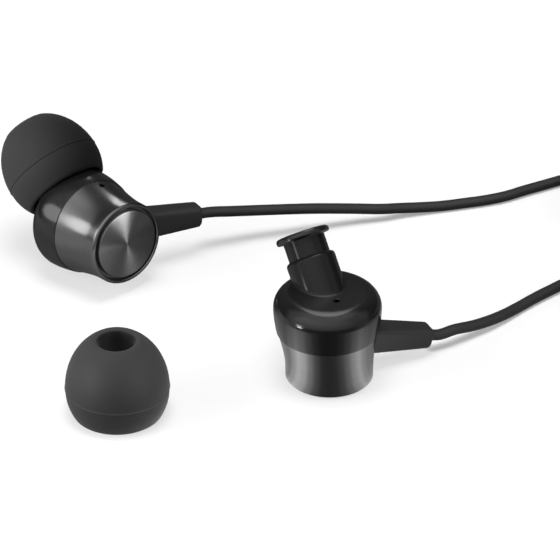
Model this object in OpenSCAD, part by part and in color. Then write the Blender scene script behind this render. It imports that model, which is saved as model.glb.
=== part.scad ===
/* [Rear can] */
// Radius of the can at its closed end
can_r = 5.2; // [4.8:0.1:5.6]
// Length of the can from its closed end to the seam
can_len = 6.5; // [6:0.1:7.5]
// Length of the straight stretch before the can flares
can_straight = 1.6; // [1:0.1:2.4]
// Depth of the solid floor behind the end cap
can_floor = 1; // [0.8:0.1:1.4]
// Radius of the can's rear chamber
chamber_r = 4.5; // [4.2:0.1:4.6]
// Rounding on the can's end edge
can_edge = 0.3; // [0.1:0.05:0.5]
// Radius of the rear vent beside the seam
rear_vent_r = 0.35; // [0.2:0.05:0.5]

/* [End cap] */
// Radius of the turned end cap
cap_r = 4.33; // [4:0.05:4.5]
// Height of the end cap's head
cap_h = 0.7; // [0.5:0.1:0.9]
// Width of the groove round the end cap
cap_groove = 0.4; // [0.2:0.05:0.45]
// How far the end cap stands proud of the can
cap_proud = 0.15; // [0.05:0.05:0.3]

/* [Front housing] */
// Radius of the housing at its shoulder
house_r = 6.38; // [6.2:0.02:6.8]
// Radius of the housing's lower edge at the seam
seam_r = 6.03; // [5.9:0.02:6.15]
// Height of the housing above the seam
house_h = 5.2; // [5:0.1:6]
// Sideways shift of the housing's axis from the can's axis
house_shift = 0.25; // [0:0.02:0.5]
// Rounding of the shoulder
shoulder_round = 2.1; // [1.2:0.1:2.4]
// Thickness of the deck that carries the nozzle
deck_t = 0.8; // [0.6:0.1:1]
// Radius of the vent beside the nozzle
front_vent_r = 0.38; // [0.2:0.02:0.5]

/* [Nozzle] */
// Tilt of the nozzle from the can's axis, in degrees
nozzle_tilt = 38.8; // [34:0.2:42]
// Direction the nozzle leans in, counted from the housing's shift axis, in degrees
nozzle_turn = 120.7; // [110:0.1:130]
// Where the nozzle's axis crosses the deck, across the shift axis
nozzle_y = 2.6; // [2:0.1:3]
// Where the nozzle's axis crosses the deck, along the shift axis
nozzle_x = -1.43; // [-1.8:0.01:-1]
// Radius of the collar at the nozzle's foot
collar_r = 2.97; // [2.7:0.01:3.1]
// Height of the collar's top above the deck, along the nozzle
collar_h = 2.8; // [2.4:0.1:3]
// Radius of the neck that the ear tip sits on
neck_r = 2.5; // [2.3:0.05:2.6]
// Length of the neck between collar and lip
neck_len = 2.3; // [2:0.1:3]
// Radius of the lip that keeps the ear tip on
lip_r = 3.23; // [2.9:0.01:3.4]
// Thickness of the lip
lip_t = 0.75; // [0.6:0.05:1]
// Radius of the sound bore
sound_bore_r = 1.9; // [1.5:0.05:2]

/* [Ear tip] */
// Largest radius of the ear tip
tip_r = 6.1; // [5.9:0.05:6.5]
// Height of the ear tip
tip_h = 9.7; // [9.4:0.05:10.2]
// Radius of the skirt's rim
tip_rim_r = 5.2; // [5:0.05:5.6]
// Height of the widest point above the rim
tip_wide_z = 3.2; // [2.5:0.1:3.6]
// Radius of the ring round the mouth
tip_mouth_r = 2.9; // [2.7:0.05:3.1]
// Radius of the sound hole
tip_hole_r = 2.12; // [1.9:0.02:2.3]
// Thickness of the skirt
skirt_t = 0.4; // [0.3:0.05:0.6]
// Radius of the stem's outside
stem_r = 3.8; // [3.7:0.05:4]
// Slack between the stem and the nozzle
tip_slack = 0.04; // [0.02:0.01:0.1]

/* [Driver] */
// Radius of the driver's frame
driver_r = 5.15; // [4.9:0.05:5.2]
// Height of the driver from yoke to rim
driver_h = 2.6; // [2.4:0.1:2.8]
// Radius of the dome, at the voice coil
dome_r = 2.1; // [1.9:0.05:2.2]
// Rise of the dome
dome_rise = 0.5; // [0.3:0.05:0.6]
// Thickness of the diaphragm film
film_t = 0.12; // [0.08:0.02:0.2]
// Radius of the magnet
magnet_r = 1.6; // [1.4:0.05:1.65]
// Height of the magnet
magnet_h = 0.9; // [0.7:0.1:1]
// Gap on each side of the voice coil
coil_gap = 0.2; // [0.15:0.01:0.25]
// Thickness of the voice coil's winding
winding_t = 0.14; // [0.1:0.01:0.16]

/* [Strain relief] */
// Direction of the cable exit, counted from the housing's shift axis, in degrees
exit_turn = 24.4; // [15:0.1:35]
// Dip of the cable exit towards the closed end, in degrees
exit_dip = 13.5; // [8:0.5:18]
// Height at which the exit's axis crosses the can's axis
exit_z = 5.4; // [5:0.1:5.8]
// Reach of the strain relief from the can's axis
relief_reach = 13.5; // [12:0.1:15]
// Width of the strain relief at the can
relief_w = 3.6; // [3.3:0.05:3.9]
// Height of the strain relief at the can
relief_h = 3.25; // [3:0.05:3.5]
// Width of the strain relief at its end
relief_end_w = 2.75; // [2.4:0.05:3]
// Height of the strain relief at its end
relief_end_h = 2.6; // [2.2:0.05:2.8]

/* [Cable] */
// Diameter of the lead to each earbud
lead_d = 1.35; // [1.2:0.05:1.4]
// Length of the lead to each earbud
lead_len = 340; // [330:1:350]
// Diameter of the trunk below the splitter
trunk_d = 2; // [1.8:0.1:2.2]
// Length of the trunk
trunk_len = 850; // [830:5:870]
// Least space between neighbouring turns of a coil
turn_gap = 0.45; // [0.42:0.01:0.6]

/* [Splitter] */
// Length of the splitter
splitter_len = 12; // [10:1:14]
// Radius of the splitter at its middle
splitter_r = 1.9; // [1.8:0.1:2.4]
// Distance between the two leads at the splitter
splitter_pitch = 1.7; // [1.6:0.05:1.8]

/* [Plug] */
// Radius of the plug's pin
pin_r = 1.75; // [1.75:0.01:1.76]
// Length of the plug's pin
pin_len = 14; // [14:0.5:15]
// Radius of the plug's grip
grip_r = 3; // [2.8:0.1:3.5]
// Length of the plug's grip
grip_len = 15; // [12:1:18]
// Length of the plug's strain relief
plug_relief_len = 8; // [6:1:10]
// Width of each insulating ring on the pin
insulator_w = 0.7; // [0.5:0.1:0.9]

/* [Where the pieces lie] */
// Place of the left earbud's closed end
left_x = -24.36; // [-30:0.01:-20]
// Place of the left earbud's closed end, away from the front
left_y = 18.6; // [15:0.1:22]
// Roll of the left earbud, in degrees
left_roll = -94.6; // [-96:0.1:-93]
// Pitch of the left earbud, in degrees
left_pitch = 30.9; // [29:0.1:32]
// Yaw of the left earbud, in degrees
left_yaw = 38.2; // [36:0.1:40]
// Place of the loose ear tip
loose_tip_x = -24.71; // [-30:0.01:-20]
// Place of the loose ear tip, away from the front
loose_tip_y = -7.5; // [-10:0.01:0]

/* [Hidden] */

fine = 96;       // segments of the large round pieces
small = 48;      // segments of the small round pieces
blend = 32;      // segments inside hulls
eps = 0.01;      // thickness of the discs that hulls run between

// Colours of the finishes
gloss_black = "#1c1c1d";
gunmetal = "#6c6d70";
spun_metal = "#77787b";
silicone = "#3c3c3d";
rubber = "#333334";
steel = "#b9babd";
copper = "#b06a38";
gold = "#c9a45a";
film = "#d8d2b4";
board_green = "#2f5b3a";
felt = "#2a2a2a";

// ---------- housing geometry ----------
seam_z = can_len;
deck_z = can_len + house_h;
house_x = -house_shift;
seam_step = 0.1;                        // the can lies this far inside the housing's edge
flare_r = seam_r - seam_step;           // can radius at the seam
flare_steps = 5;
flare_power = 1.6;
spigot_h = 0.8;
spigot_r = 5.4;
fit = 0.03;                             // slack of parts that push together
cavity_r = driver_r + 0.1;
gasket_t = 0.25;
driver_top = deck_z - 1.3 - gasket_t;   // rim of the driver's frame
ceiling_z = driver_top + gasket_t;      // shelf that the gasket presses on
chamber_top_r = 4.4;                    // front chamber above the diaphragm
driver_z = driver_top - driver_h;

// ---------- nozzle geometry, along its own axis from the deck ----------
neck_top = collar_h + neck_len;
lip_top = neck_top + lip_t;
mesh_r = 2.35;
mesh_t = 0.2;
mesh_recess = 0.3;

// ---------- ear tip geometry, along its own axis from the rim ----------
dome_power = 2.1;
seat_gap = 0.1;                          // slack along the nozzle at each end of the seat
stem_z = 2.76;                           // where the stem begins above the rim
pocket_z = stem_z + neck_len - 2 * seat_gap;    // pocket that the lip sits in
pocket_h = lip_t + 2 * seat_gap;
tip_on_nozzle = neck_top - seat_gap - pocket_z; // rim's place on the nozzle
skirt_swell = 0.5;                       // how much thicker the skirt gets towards its root

function nozzle_dir() = [
    sin(nozzle_tilt) * cos(nozzle_turn), sin(nozzle_tilt) * sin(nozzle_turn), cos(nozzle_tilt)
];

// ---------- left earbud's place ----------
function turn_x(a, p) = [p[0], p[1] * cos(a) - p[2] * sin(a), p[1] * sin(a) + p[2] * cos(a)];
function turn_y(a, p) = [p[0] * cos(a) + p[2] * sin(a), p[1], p[2] * cos(a) - p[0] * sin(a)];
function turn_z(a, p) = [p[0] * cos(a) - p[1] * sin(a), p[0] * sin(a) + p[1] * cos(a), p[2]];
function left_turn(p) = turn_z(left_yaw, turn_y(left_pitch, turn_x(left_roll, [p[0], -p[1], p[2]])));
left_axis = left_turn([0, 0, 1]);
axis_flat = sqrt(1 - pow(left_axis[2], 2));
// heights that the left earbud needs for its shoulder to touch the ground
shoulder_zs = [for (i = [0:4]) deck_z - shoulder_round * (1 - i / 4 * 0.35)];
left_lift = eps + max([
    for (z = shoulder_zs) shoulder_radius(z) * axis_flat - left_turn([house_x, 0, z])[2]
]);
left_at = [left_x, left_y, left_lift];
function left_place(p) = left_turn(p) + left_at;

// radius of the front housing at height z
function shoulder_radius(z) =
    z <= deck_z - shoulder_round
        ? seam_r + (house_r - seam_r) * sin(90 * (z - seam_z) / (house_h - shoulder_round))
        : house_r - shoulder_round
            + sqrt(max(0, pow(shoulder_round, 2) - pow(z - deck_z + shoulder_round, 2)));

// ---------- cable exit ----------
exit_dir = [cos(exit_dip) * cos(exit_turn), cos(exit_dip) * sin(exit_turn), -sin(exit_dip)];
exit_from = [0, 0, exit_z];
right_exit = exit_from + relief_reach * exit_dir;
left_exit = left_place(right_exit);
left_exit_dir = left_turn(exit_dir);
lead_bore_r = lead_d / 2 + 0.02;
relief_root = 3.61;      // inner face of the strain relief, from the can's axis
relief_flange = 0.3;     // how far the flange inside the can stands out all round
relief_corner = 0.45;
relief_round = 0.7;

// ---------- cords ----------
function unit(v) = v / norm(v);
function heading(a) = [cos(a), sin(a), 0];
function smooth(t) = t <= 0 ? 0 : t >= 1 ? 1 : t * t * (3 - 2 * t);
function path_length(p) = len(p) < 2 ? 0 : path_sum(p, 1, 0);
function path_sum(p, i, s) = i >= len(p) ? s : path_sum(p, i + 1, s + norm(p[i] - p[i - 1]));

function tangent(p, i) =
    i == 0 ? unit(p[1] - p[0])
    : i == len(p) - 1 ? unit(p[i] - p[i - 1])
    : unit(unit(p[i + 1] - p[i]) + unit(p[i] - p[i - 1]));

// A round tube of one skin along a list of points
module tube(p, r, sides) {
    rings = len(p);
    points = [
        for (i = [0:rings - 1])
            let (t = tangent(p, i), side = unit(cross(t, [0, 0, 1])), up = cross(side, t))
                for (k = [0:sides - 1])
                    let (a = 360 * (k + 0.5) / sides)
                        p[i] + r * (cos(a) * side + sin(a) * up)
    ];
    skin = [
        for (i = [0:rings - 2], k = [0:sides - 1])
            let (a = i * sides + k, b = i * sides + (k + 1) % sides)
                each [[a, b + sides, b], [a, a + sides, b + sides]]
    ];
    first = [for (k = [1:sides - 2]) [0, k, k + 1]];
    last_ring = (rings - 1) * sides;
    last = [for (k = [1:sides - 2]) [last_ring, last_ring + k + 1, last_ring + k]];
    polyhedron(points, concat(skin, first, last), convexity = 10);
}

// A neat coil: clockwise, spiralling in on the ground and out again on top.
// start is where the straight end meets the first turn, from is the angle there.
rings_per_turn = 24;
function coil_radius(s, turns, outer, pitch) = outer - pitch * (turns / 2 - abs(s - turns / 2));
function coil_path(start, from, turns, outer, d) =
    let (
        pitch = d + turn_gap,
        centre = start - outer * heading(from),
        steps = round(turns * rings_per_turn),
        wound = [
            for (i = [0:steps])
                let (
                    s = turns * i / steps,
                    a = from - 360 * s,
                    rise = pitch * smooth((s - turns / 2) / 0.5 + 0.5)
                )
                    centre + coil_radius(s, turns, outer, pitch) * heading(a) + [0, 0, rise]
        ],
        last = from - 360 * turns
    )
        concat(
            [start - d * heading(from - 90)],
            wound,
            [wound[steps] + d * heading(last - 90)]
        );
function coil_outer(length, turns, d) = length / (2 * PI * turns) + turns * (d + turn_gap) / 4;
function last_of(p) = p[len(p) - 1];

// least distance between two points of one coil that lie on different turns
function self_gap(p, d) = min([
    for (i = [0:4:len(p) - 1])
        for (j = [i + rings_per_turn - 8:1:len(p) - 1])
            norm(p[i] - p[j])
]) - d;

lead_z = lead_d / 2 + 0.01;
trunk_z = trunk_d / 2 + 0.01;
splitter_at = [60, 30, splitter_r + 0.01];
splitter_half = [0, splitter_pitch / 2, 0];

// Right lead, from the strain relief to its coil
right_coil_from = 105;
right_coil_turns = 5.972;
right_coil_start = [41, 25, lead_z];
right_coil_in = right_coil_start - lead_d * heading(right_coil_from - 90);
lead_right_route = concat(
    [right_exit, right_exit + 1.4 * exit_dir],
    [
        [15, 7.05, 1.95], [17, 8.5, 1.5], [18.9, 9.95, 1.2], [20.9, 11.8, 0.9],
        [22.9, 13.9, lead_z], [25.1, 16.1, lead_z], [27.3, 18.1, lead_z],
        [29.6, 20.1, lead_z], [32, 21.9, lead_z], [34.6, 23.3, lead_z], [37.3, 24.1, lead_z]
    ],
    [right_coil_in]
);

// Left lead, from the strain relief to its coil
left_coil_from = 98;
left_coil_turns = 6.189;
left_coil_start = [40.2, 47.3, lead_z];
left_coil_in = left_coil_start - lead_d * heading(left_coil_from - 90);
lead_left_route = concat(
    [left_exit, left_exit + 1.4 * left_exit_dir],
    [
        [-12, 30.25, 4.7], [-9.4, 31.3, 4.2], [-6.7, 32, 3.9], [-4, 32.85, 3.5], [-1.3, 33.65, 3.1],
        [1.4, 34.5, 2.6], [4.1, 35.3, 2.1], [6.8, 35.9, 1.7], [9.5, 36.9, 1.25], [12.2, 37.7, 0.9],
        [14.9, 38.4, 0.7], [17.6, 39.1, lead_z], [20.2, 39.8, lead_z], [22.8, 40.8, lead_z],
        [25.4, 42.3, lead_z], [28, 43.7, lead_z], [30.6, 45.1, lead_z], [33.2, 46.2, lead_z],
        [36, 46.8, lead_z]
    ],
    [left_coil_in]
);

// From each coil to the splitter
right_tail_shape = [
    [43.6, 26.3, 2.3], [46.2, 27.2, 1.8], [48.9, 28, 1.2],
    [51.7, 28.6, 0.8], [54.2, 29, 0.75], [56.4, 29.2, 1.2]
];
left_tail_shape = [
    [51.4, 39.4, 2], [52.3, 36.9, 1.5], [53.3, 34.4, 1.05], [54.8, 32.3, 1], [56.9, 31.1, 1.4]
];
splitter_right = splitter_at - splitter_half;
splitter_left = splitter_at + splitter_half;
function tail_length(shape, to) = path_length(concat(shape, [to - [1.4, 0, 0], to]));
// the wound length is what the free stretches leave over
right_wound = lead_len - path_length(lead_right_route) - tail_length(right_tail_shape, splitter_right) - 4;
left_wound = lead_len - path_length(lead_left_route) - tail_length(left_tail_shape, splitter_left) - 3;
right_outer = coil_outer(right_wound, right_coil_turns, lead_d);
left_outer = coil_outer(left_wound, left_coil_turns, lead_d);
right_coil_path = coil_path(right_coil_start, right_coil_from, right_coil_turns, right_outer, lead_d);
left_coil_path = coil_path(left_coil_start, left_coil_from, left_coil_turns, left_outer, lead_d);
function tail_route(coil, shape, to) =
    let (n = len(coil), away = unit(coil[n - 1] - coil[n - 2]))
        concat([coil[n - 1], coil[n - 1] + 1.4 * away], shape, [to - [1.4, 0, 0], to]);
lead_tail_right_route = tail_route(right_coil_path, right_tail_shape, splitter_right);
lead_tail_left_route = tail_route(left_coil_path, left_tail_shape, splitter_left);

// Trunk, from the splitter to its coil, and from there to the plug
trunk_from = 45;
trunk_turns = 10.861;
trunk_start = [89.1, 21.1, trunk_z];
trunk_in = trunk_start - trunk_d * heading(trunk_from - 90);
splitter_out = splitter_at + [splitter_len, 0, 0];
trunk_route = [
    splitter_out, splitter_out + [2, 0, 0], [77, 29.6, 1.6], [80, 28.3, 1.2], [83.4, 26.2, trunk_z], trunk_in
];
plug_at = [98.8, 23.4, grip_r + 0.01];
plug_turn = -90;         // way that the plug points
trunk_end_shape = [
    [81.8, 27.1, 3.4], [84.9, 27.8, 3.25], [88.1, 28.8, 2.6], [91.2, 29.6, 1.9],
    [94.3, 29.8, 1.7], [96.6, 29.1, 2.1], [98.2, 27.4, 2.7]
];
trunk_wound = trunk_len - path_length(trunk_route) - path_length(concat(trunk_end_shape, [plug_at])) - 6;
trunk_outer = coil_outer(trunk_wound, trunk_turns, trunk_d);
trunk_coil_path = coil_path(trunk_start, trunk_from, trunk_turns, trunk_outer, trunk_d);
trunk_leave = last_of(trunk_coil_path);
trunk_leave_dir = unit(trunk_leave - trunk_coil_path[len(trunk_coil_path) - 2]);
trunk_end_route = concat(
    [trunk_leave, trunk_leave + 2 * trunk_leave_dir],
    trunk_end_shape,
    [plug_at - 2 * heading(plug_turn), plug_at]
);

echo(right_lead_length = path_length(lead_right_route) + path_length(right_coil_path)
    + path_length(lead_tail_right_route));
echo(left_lead_length = path_length(lead_left_route) + path_length(left_coil_path)
    + path_length(lead_tail_left_route));
echo(trunk_length = path_length(trunk_route) + path_length(trunk_coil_path) + path_length(trunk_end_route));
echo(coil_gaps = [self_gap(right_coil_path, lead_d), self_gap(left_coil_path, lead_d),
    self_gap(trunk_coil_path, trunk_d)]);
echo(coil_outers = [right_outer, left_outer, trunk_outer]);
echo(coil_ends = [last_of(right_coil_path), last_of(left_coil_path), last_of(trunk_coil_path)]);
echo(left_lift = left_lift, left_exit = left_exit, tip_on_nozzle = tip_on_nozzle);

// ---------- placing ----------
// Puts a piece of the right earbud where the left one lies, mirrored
module left_earbud() {
    translate(left_at) rotate([left_roll, left_pitch, left_yaw]) mirror([0, 1, 0]) children();
}
module on_house() { translate([house_x, 0, 0]) children(); }
module on_nozzle() {
    translate([nozzle_x, nozzle_y, deck_z]) rotate([0, nozzle_tilt, nozzle_turn]) children();
}
module on_exit() {
    translate(exit_from) rotate([0, 0, exit_turn]) rotate([0, exit_dip, 0]) rotate([0, 90, 0]) children();
}

// Quarter arc points, from angle a to b round a centre
function arc(cx, cz, r, a, b, n) = [
    for (i = [0:n]) let (t = a + (b - a) * i / n) [cx + r * cos(t), cz + r * sin(t)]
];

// ---------- housing ----------
module front_housing() {
    wall_h = house_h - shoulder_round;
    wall_points = [for (i = [0:4]) let (z = seam_z + wall_h * i / 4) [shoulder_radius(z), z]];
    round_r = house_r - shoulder_round;
    color(gloss_black) difference() {
        union() {
            on_house() rotate_extrude($fn = fine) polygon(concat(
                [[0, seam_z]], wall_points,
                arc(round_r, deck_z - shoulder_round, shoulder_round, 9, 90, 9),
                [[0, deck_z]]
            ));
            on_nozzle() {
                translate([0, 0, -2.6]) cylinder(h = 2.6 + collar_h - 0.45, r = collar_r, $fn = fine);
                rotate_extrude($fn = fine) polygon(concat(
                    [[0, collar_h - 1]], [[collar_r, collar_h - 1]],
                    arc(collar_r - 0.45, collar_h - 0.45, 0.45, 0, 90, 5),
                    [[neck_r, collar_h], [neck_r, neck_top], [lip_r - 0.15, neck_top]],
                    arc(lip_r - 0.2, neck_top + 0.25, 0.2, -60, 0, 3),
                    arc(lip_r - 0.4, lip_top - 0.4, 0.4, 0, 90, 5),
                    [[0, lip_top]]
                ));
            }
        }
        on_house() rotate_extrude($fn = fine) polygon([
            [0, seam_z - 1], [spigot_r + fit, seam_z - 1], [spigot_r + fit, seam_z + spigot_h + fit],
            [cavity_r, seam_z + spigot_h + fit], [cavity_r, ceiling_z], [chamber_top_r, ceiling_z],
            [chamber_top_r, deck_z - deck_t], [0, deck_z - deck_t]
        ]);
        on_nozzle() translate([0, 0, -2.2]) cylinder(h = lip_top + 4, r = sound_bore_r, $fn = fine);
        on_nozzle() translate([0, 0, lip_top - mesh_recess]) cylinder(h = 1, r = mesh_r + fit, $fn = fine);
        translate([front_vent_at[0], front_vent_at[1], deck_z - deck_t - 0.5])
            cylinder(h = deck_t + 1, r = front_vent_r, $fn = small);
    }
}
front_vent_at = [0.78, -2.04];
rear_vent_turn = 112;

module rear_can() {
    color(gunmetal) difference() {
        union() {
            translate([0, 0, cap_proud]) rotate_extrude($fn = fine) polygon(concat(
                [[0, 0]],
                arc(can_r - can_edge, can_edge, can_edge, -90, 0, 4),
                [[can_r, can_straight - cap_proud], [0, can_straight - cap_proud]]
            ));
            for (i = [0:flare_steps - 1]) {
                t0 = i / flare_steps;
                t1 = (i + 1) / flare_steps;
                hull() {
                    flare_disc(t0, 0);
                    flare_disc(t1, -eps);
                }
            }
            on_house() translate([0, 0, seam_z - 0.1])
                cylinder(h = spigot_h + 0.1, r = spigot_r, $fn = fine);
        }
        translate([house_x / 2, 0, can_floor]) cylinder(h = can_len + 2, r = chamber_r, $fn = fine);
        translate([0, 0, -1]) cylinder(h = cap_h + 1 + 0.02, r = cap_r + cap_groove, $fn = fine);
        translate([0, 0, -1]) cylinder(h = can_floor + 2, r = cap_post_r + fit, $fn = small);
        relief_body(fit);
        rotate([0, 0, rear_vent_turn]) translate([chamber_r - 1, 0, seam_z - 0.95]) rotate([0, 90, 0])
            cylinder(h = 4, r = rear_vent_r, $fn = small);
    }
}
cap_post_r = 3.2;
module flare_disc(t, shift) {
    lift = can_straight + (seam_z - can_straight) * t + shift;
    grow = pow(t, flare_power);
    translate([house_x * grow, 0, lift])
        cylinder(h = eps, r = can_r + (flare_r - can_r) * grow, $fn = fine / 2);
}

module end_cap() {
    color(spun_metal) rotate_extrude($fn = fine) polygon([
        [0, 0], [cap_r - 0.12, 0], [cap_r, 0.12], [cap_r, cap_h], [cap_post_r, cap_h],
        [cap_post_r, can_floor + 0.3], [0, can_floor + 0.3]
    ]);
}

module nozzle_mesh() {
    color(steel) on_nozzle() translate([0, 0, lip_top - mesh_recess])
        cylinder(h = mesh_t, r = mesh_r, $fn = fine);
}
module nozzle_damper() {
    color(felt) on_nozzle() translate([0, 0, 1.2]) cylinder(h = 1.4, r = sound_bore_r - fit, $fn = small);
}
module vent_screen() {
    color(felt) translate([front_vent_at[0], front_vent_at[1], deck_z - deck_t - 0.12])
        cylinder(h = 0.12, r = front_vent_r + 0.4, $fn = small);
}

// ---------- driver ----------
frame_wall = 0.4;
frame_floor = 0.4;
plate_t = 0.4;
yoke_floor = 0.4;
winding_h = 1.05;
winding_r = dome_r - 0.05 - winding_t;      // inner radius of the voice coil
plate_r = winding_r - coil_gap;             // radius of the top plate
yoke_in = winding_r + winding_t + coil_gap;
yoke_out = yoke_in + 0.5;
yoke_h = yoke_floor + magnet_h + plate_t;
film_z = driver_top - 0.25;                 // where the diaphragm's rim lies
film_out = driver_r - frame_wall - 0.05;
film_rim = 0.35;
roll_h = 0.4;
frame_hole_r = 0.35;
ledge_w = 0.45;

module front_gasket() {
    color(felt) on_house() translate([0, 0, driver_top]) ring(driver_r - 0.75, driver_r - 0.05, gasket_t);
}
module ring(r_in, r_out, h) {
    difference() {
        cylinder(h = h, r = r_out, $fn = fine);
        translate([0, 0, -1]) cylinder(h = h + 2, r = r_in, $fn = fine);
    }
}
module driver_frame() {
    // wall with a ledge for the film, and a floor with holes round the yoke
    color(gloss_black) on_house() difference() {
        rotate_extrude($fn = fine) polygon([
            [yoke_out + fit, driver_z], [driver_r, driver_z], [driver_r, driver_top],
            [driver_r - frame_wall, driver_top], [driver_r - frame_wall, film_z - film_t],
            [driver_r - frame_wall - ledge_w, film_z - film_t],
            [driver_r - frame_wall - ledge_w, driver_z + frame_floor],
            [yoke_out + fit, driver_z + frame_floor]
        ]);
        for (i = [0:7]) rotate([0, 0, 45 * i + 22.5])
            translate([(yoke_out + driver_r - frame_wall) / 2, 0, driver_z - 1])
                cylinder(h = 2.5, r = frame_hole_r, $fn = small);
    }
}
module diaphragm() {
    // shallow dome of one even film
    ball_r = (pow(dome_r, 2) + pow(dome_rise, 2)) / (2 * dome_rise);
    half = asin(dome_r / ball_r);
    under = arc(0, dome_rise - ball_r, ball_r, 90, 90 - half, 8);
    over = arc(0, dome_rise - ball_r + film_t, ball_r, 90 - half, 90, 8);
    color(film) on_house() translate([0, 0, film_z - film_t])
        rotate_extrude($fn = fine) polygon(concat(under, over));
}
module surround() {
    // rolled ring between the dome and the frame, with a flat rim that lies on the frame's ledge
    roll_in = dome_r + fit;
    roll_w = film_out - film_rim - roll_in;
    steps = 8;
    color(film) on_house() translate([0, 0, film_z - film_t]) rotate_extrude($fn = fine) polygon(concat(
        [for (i = [0:steps]) [roll_in + roll_w * i / steps, roll_h * sin(180 * i / steps)]],
        [[film_out, 0], [film_out, film_t]],
        [for (i = [steps:-1:0]) [roll_in + roll_w * i / steps, roll_h * sin(180 * i / steps) + film_t]]
    ));
}
module voice_coil() {
    color(copper) on_house() translate([0, 0, film_z - film_t - winding_h])
        ring(winding_r, winding_r + winding_t, winding_h);
}
module top_plate() {
    color(steel) on_house() translate([0, 0, driver_z + yoke_floor + magnet_h])
        cylinder(h = plate_t, r = plate_r, $fn = small);
}
module magnet() {
    color(steel) on_house() translate([0, 0, driver_z + yoke_floor])
        cylinder(h = magnet_h, r = magnet_r, $fn = small);
}
module yoke() {
    color(steel) on_house() translate([0, 0, driver_z]) difference() {
        cylinder(h = yoke_h, r = yoke_out, $fn = fine);
        translate([0, 0, yoke_floor]) cylinder(h = yoke_h, r = yoke_in, $fn = fine);
    }
}
board_w = 3.6;
board_d = 2;
board_t = 0.4;
bead_x = 0.9;
bead_y = 0.55;
bead_r = 0.3;
wire_r = 0.12;
module driver_board() {
    // small board on the yoke's back, with two solder beads
    color(board_green) on_house() translate([0, 0, driver_z - board_t / 2])
        cube([board_w, board_d, board_t], center = true);
    color(steel) on_house() for (side = [-1, 1])
        translate([bead_x, side * bead_y, driver_z - board_t]) sphere(r = bead_r, $fn = 24);
}

// ---------- cable inside the earbud ----------
stop_at = 2.2;
stop_len = 1.4;
module cable_stop() {
    color(rubber) on_exit() difference() {
        translate([0, 0, stop_at]) rotate_extrude($fn = small) polygon(concat(
            arc(0.75, 0.3, 0.3, -90, 0, 4), arc(0.75, stop_len - 0.3, 0.3, 0, 90, 4), [[0, stop_len], [0, 0]]
        ));
        cylinder(h = 8, r = lead_d / 2 + 0.01, $fn = small);
    }
}
module inner_lead() {
    color(rubber) on_exit() translate([0, 0, stop_at - 0.5])
        cylinder(h = relief_reach - stop_at + 0.5, r = lead_d / 2, $fn = small);
}
module signal_wire(side) {
    // enamelled wire from the cable's end up to its solder bead
    end = exit_from + (stop_at - 0.5 - wire_r) * exit_dir;
    to = [house_x + bead_x, side * bead_y, driver_z - board_t - bead_r - wire_r];
    color(copper) between(end + [0, side * 0.28, 0], to, wire_r);
}
module between(a, b, r) {
    v = b - a;
    translate(a) rotate([0, acos(v[2] / norm(v)), atan2(v[1], v[0])]) cylinder(h = norm(v), r = r, $fn = 24);
}

// ---------- strain relief ----------
module plate(w, h, corner, t) {
    // rounded plate, wide across and high along the earbud's axis
    for (x = [-1, 1], y = [-1, 1])
        translate([x * (h / 2 - corner), y * (w / 2 - corner), 0]) cylinder(h = t, r = corner, $fn = blend);
}
module relief_body(slack) {
    on_exit() hull() {
        translate([0, 0, relief_root]) plate(relief_w + 2 * slack, relief_h + 2 * slack, relief_corner, eps);
        for (x = [-1, 1], y = [-1, 1])
            translate([
                x * (relief_end_h / 2 - relief_round + slack), y * (relief_end_w / 2 - relief_round + slack),
                relief_reach - relief_round
            ])
                sphere(r = relief_round, $fn = blend);
    }
}
module strain_relief() {
    color(rubber) difference() {
        union() {
            relief_body(0);
            // flange that bears on the inside of the can's wall
            intersection() {
                on_exit() hull() translate([0, 0, relief_root])
                    plate(relief_w + 2 * relief_flange, relief_h + 2 * relief_flange, relief_corner, 1.2);
                translate([house_x / 2, 0, can_floor]) cylinder(h = can_len, r = chamber_r - fit, $fn = fine);
            }
        }
        on_exit() cylinder(h = 20, r = lead_d / 2 + 0.01, $fn = small);
        on_exit() translate([0, 0, relief_reach]) cylinder(h = 2, r = 3, $fn = small);
    }
}

// ---------- ear tip ----------
dome_fall = 1 - pow(tip_mouth_r / tip_r, 2);
function tip_radius(z) =
    z < tip_wide_z
        ? tip_r - (tip_r - tip_rim_r) * pow(1 - z / tip_wide_z, 2)
        : tip_r * sqrt(1 - dome_fall * pow((z - tip_wide_z) / (tip_h - tip_wide_z), dome_power));
// thickness of the skirt, which thins towards its rim
function skirt_skin(z) = skirt_t * (0.35 + 0.65 * min(1, z / 1.2));
module ear_tip() {
    skin_top = 6.3;     // height of the hollow under the skirt
    outside = [for (i = [0:24]) let (z = 0.2 + (tip_h - 0.2) * i / 24) [tip_radius(z), z]];
    inside = [
        for (i = [0:12])
            let (z = skin_top * (1 - i / 12))
                [max(stem_r + 0.1, tip_radius(z) - skirt_skin(z) - skirt_swell * z / skin_top), z]
    ];
    color(silicone) rotate_extrude($fn = fine) polygon(concat(
        [[tip_rim_r - 0.12, 0]],
        outside,
        [[tip_hole_r + 0.15, tip_h], [tip_hole_r, tip_h - 0.25], [tip_hole_r, pocket_z + pocket_h + 0.3]],
        [[lip_r + tip_slack, pocket_z + pocket_h], [lip_r + tip_slack, pocket_z]],
        [[neck_r + tip_slack, pocket_z], [neck_r + tip_slack, stem_z]],
        [[stem_r - 0.2, stem_z], [stem_r, stem_z + 0.3], [stem_r, skin_top - 0.3]],
        inside
    ));
}

// ---------- splitter ----------
module splitter() {
    color(rubber) translate(splitter_at) rotate([0, 90, 0]) rotate_extrude($fn = small) polygon(concat(
        [[0, 0]], arc(splitter_r - 0.4, 0.4, 0.4, -90, 0, 4),
        [[splitter_r, splitter_len * 0.55]],
        arc(1.25, splitter_len - 0.25, 0.25, 0, 90, 4),
        [[0, splitter_len]]
    ));
}

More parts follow.
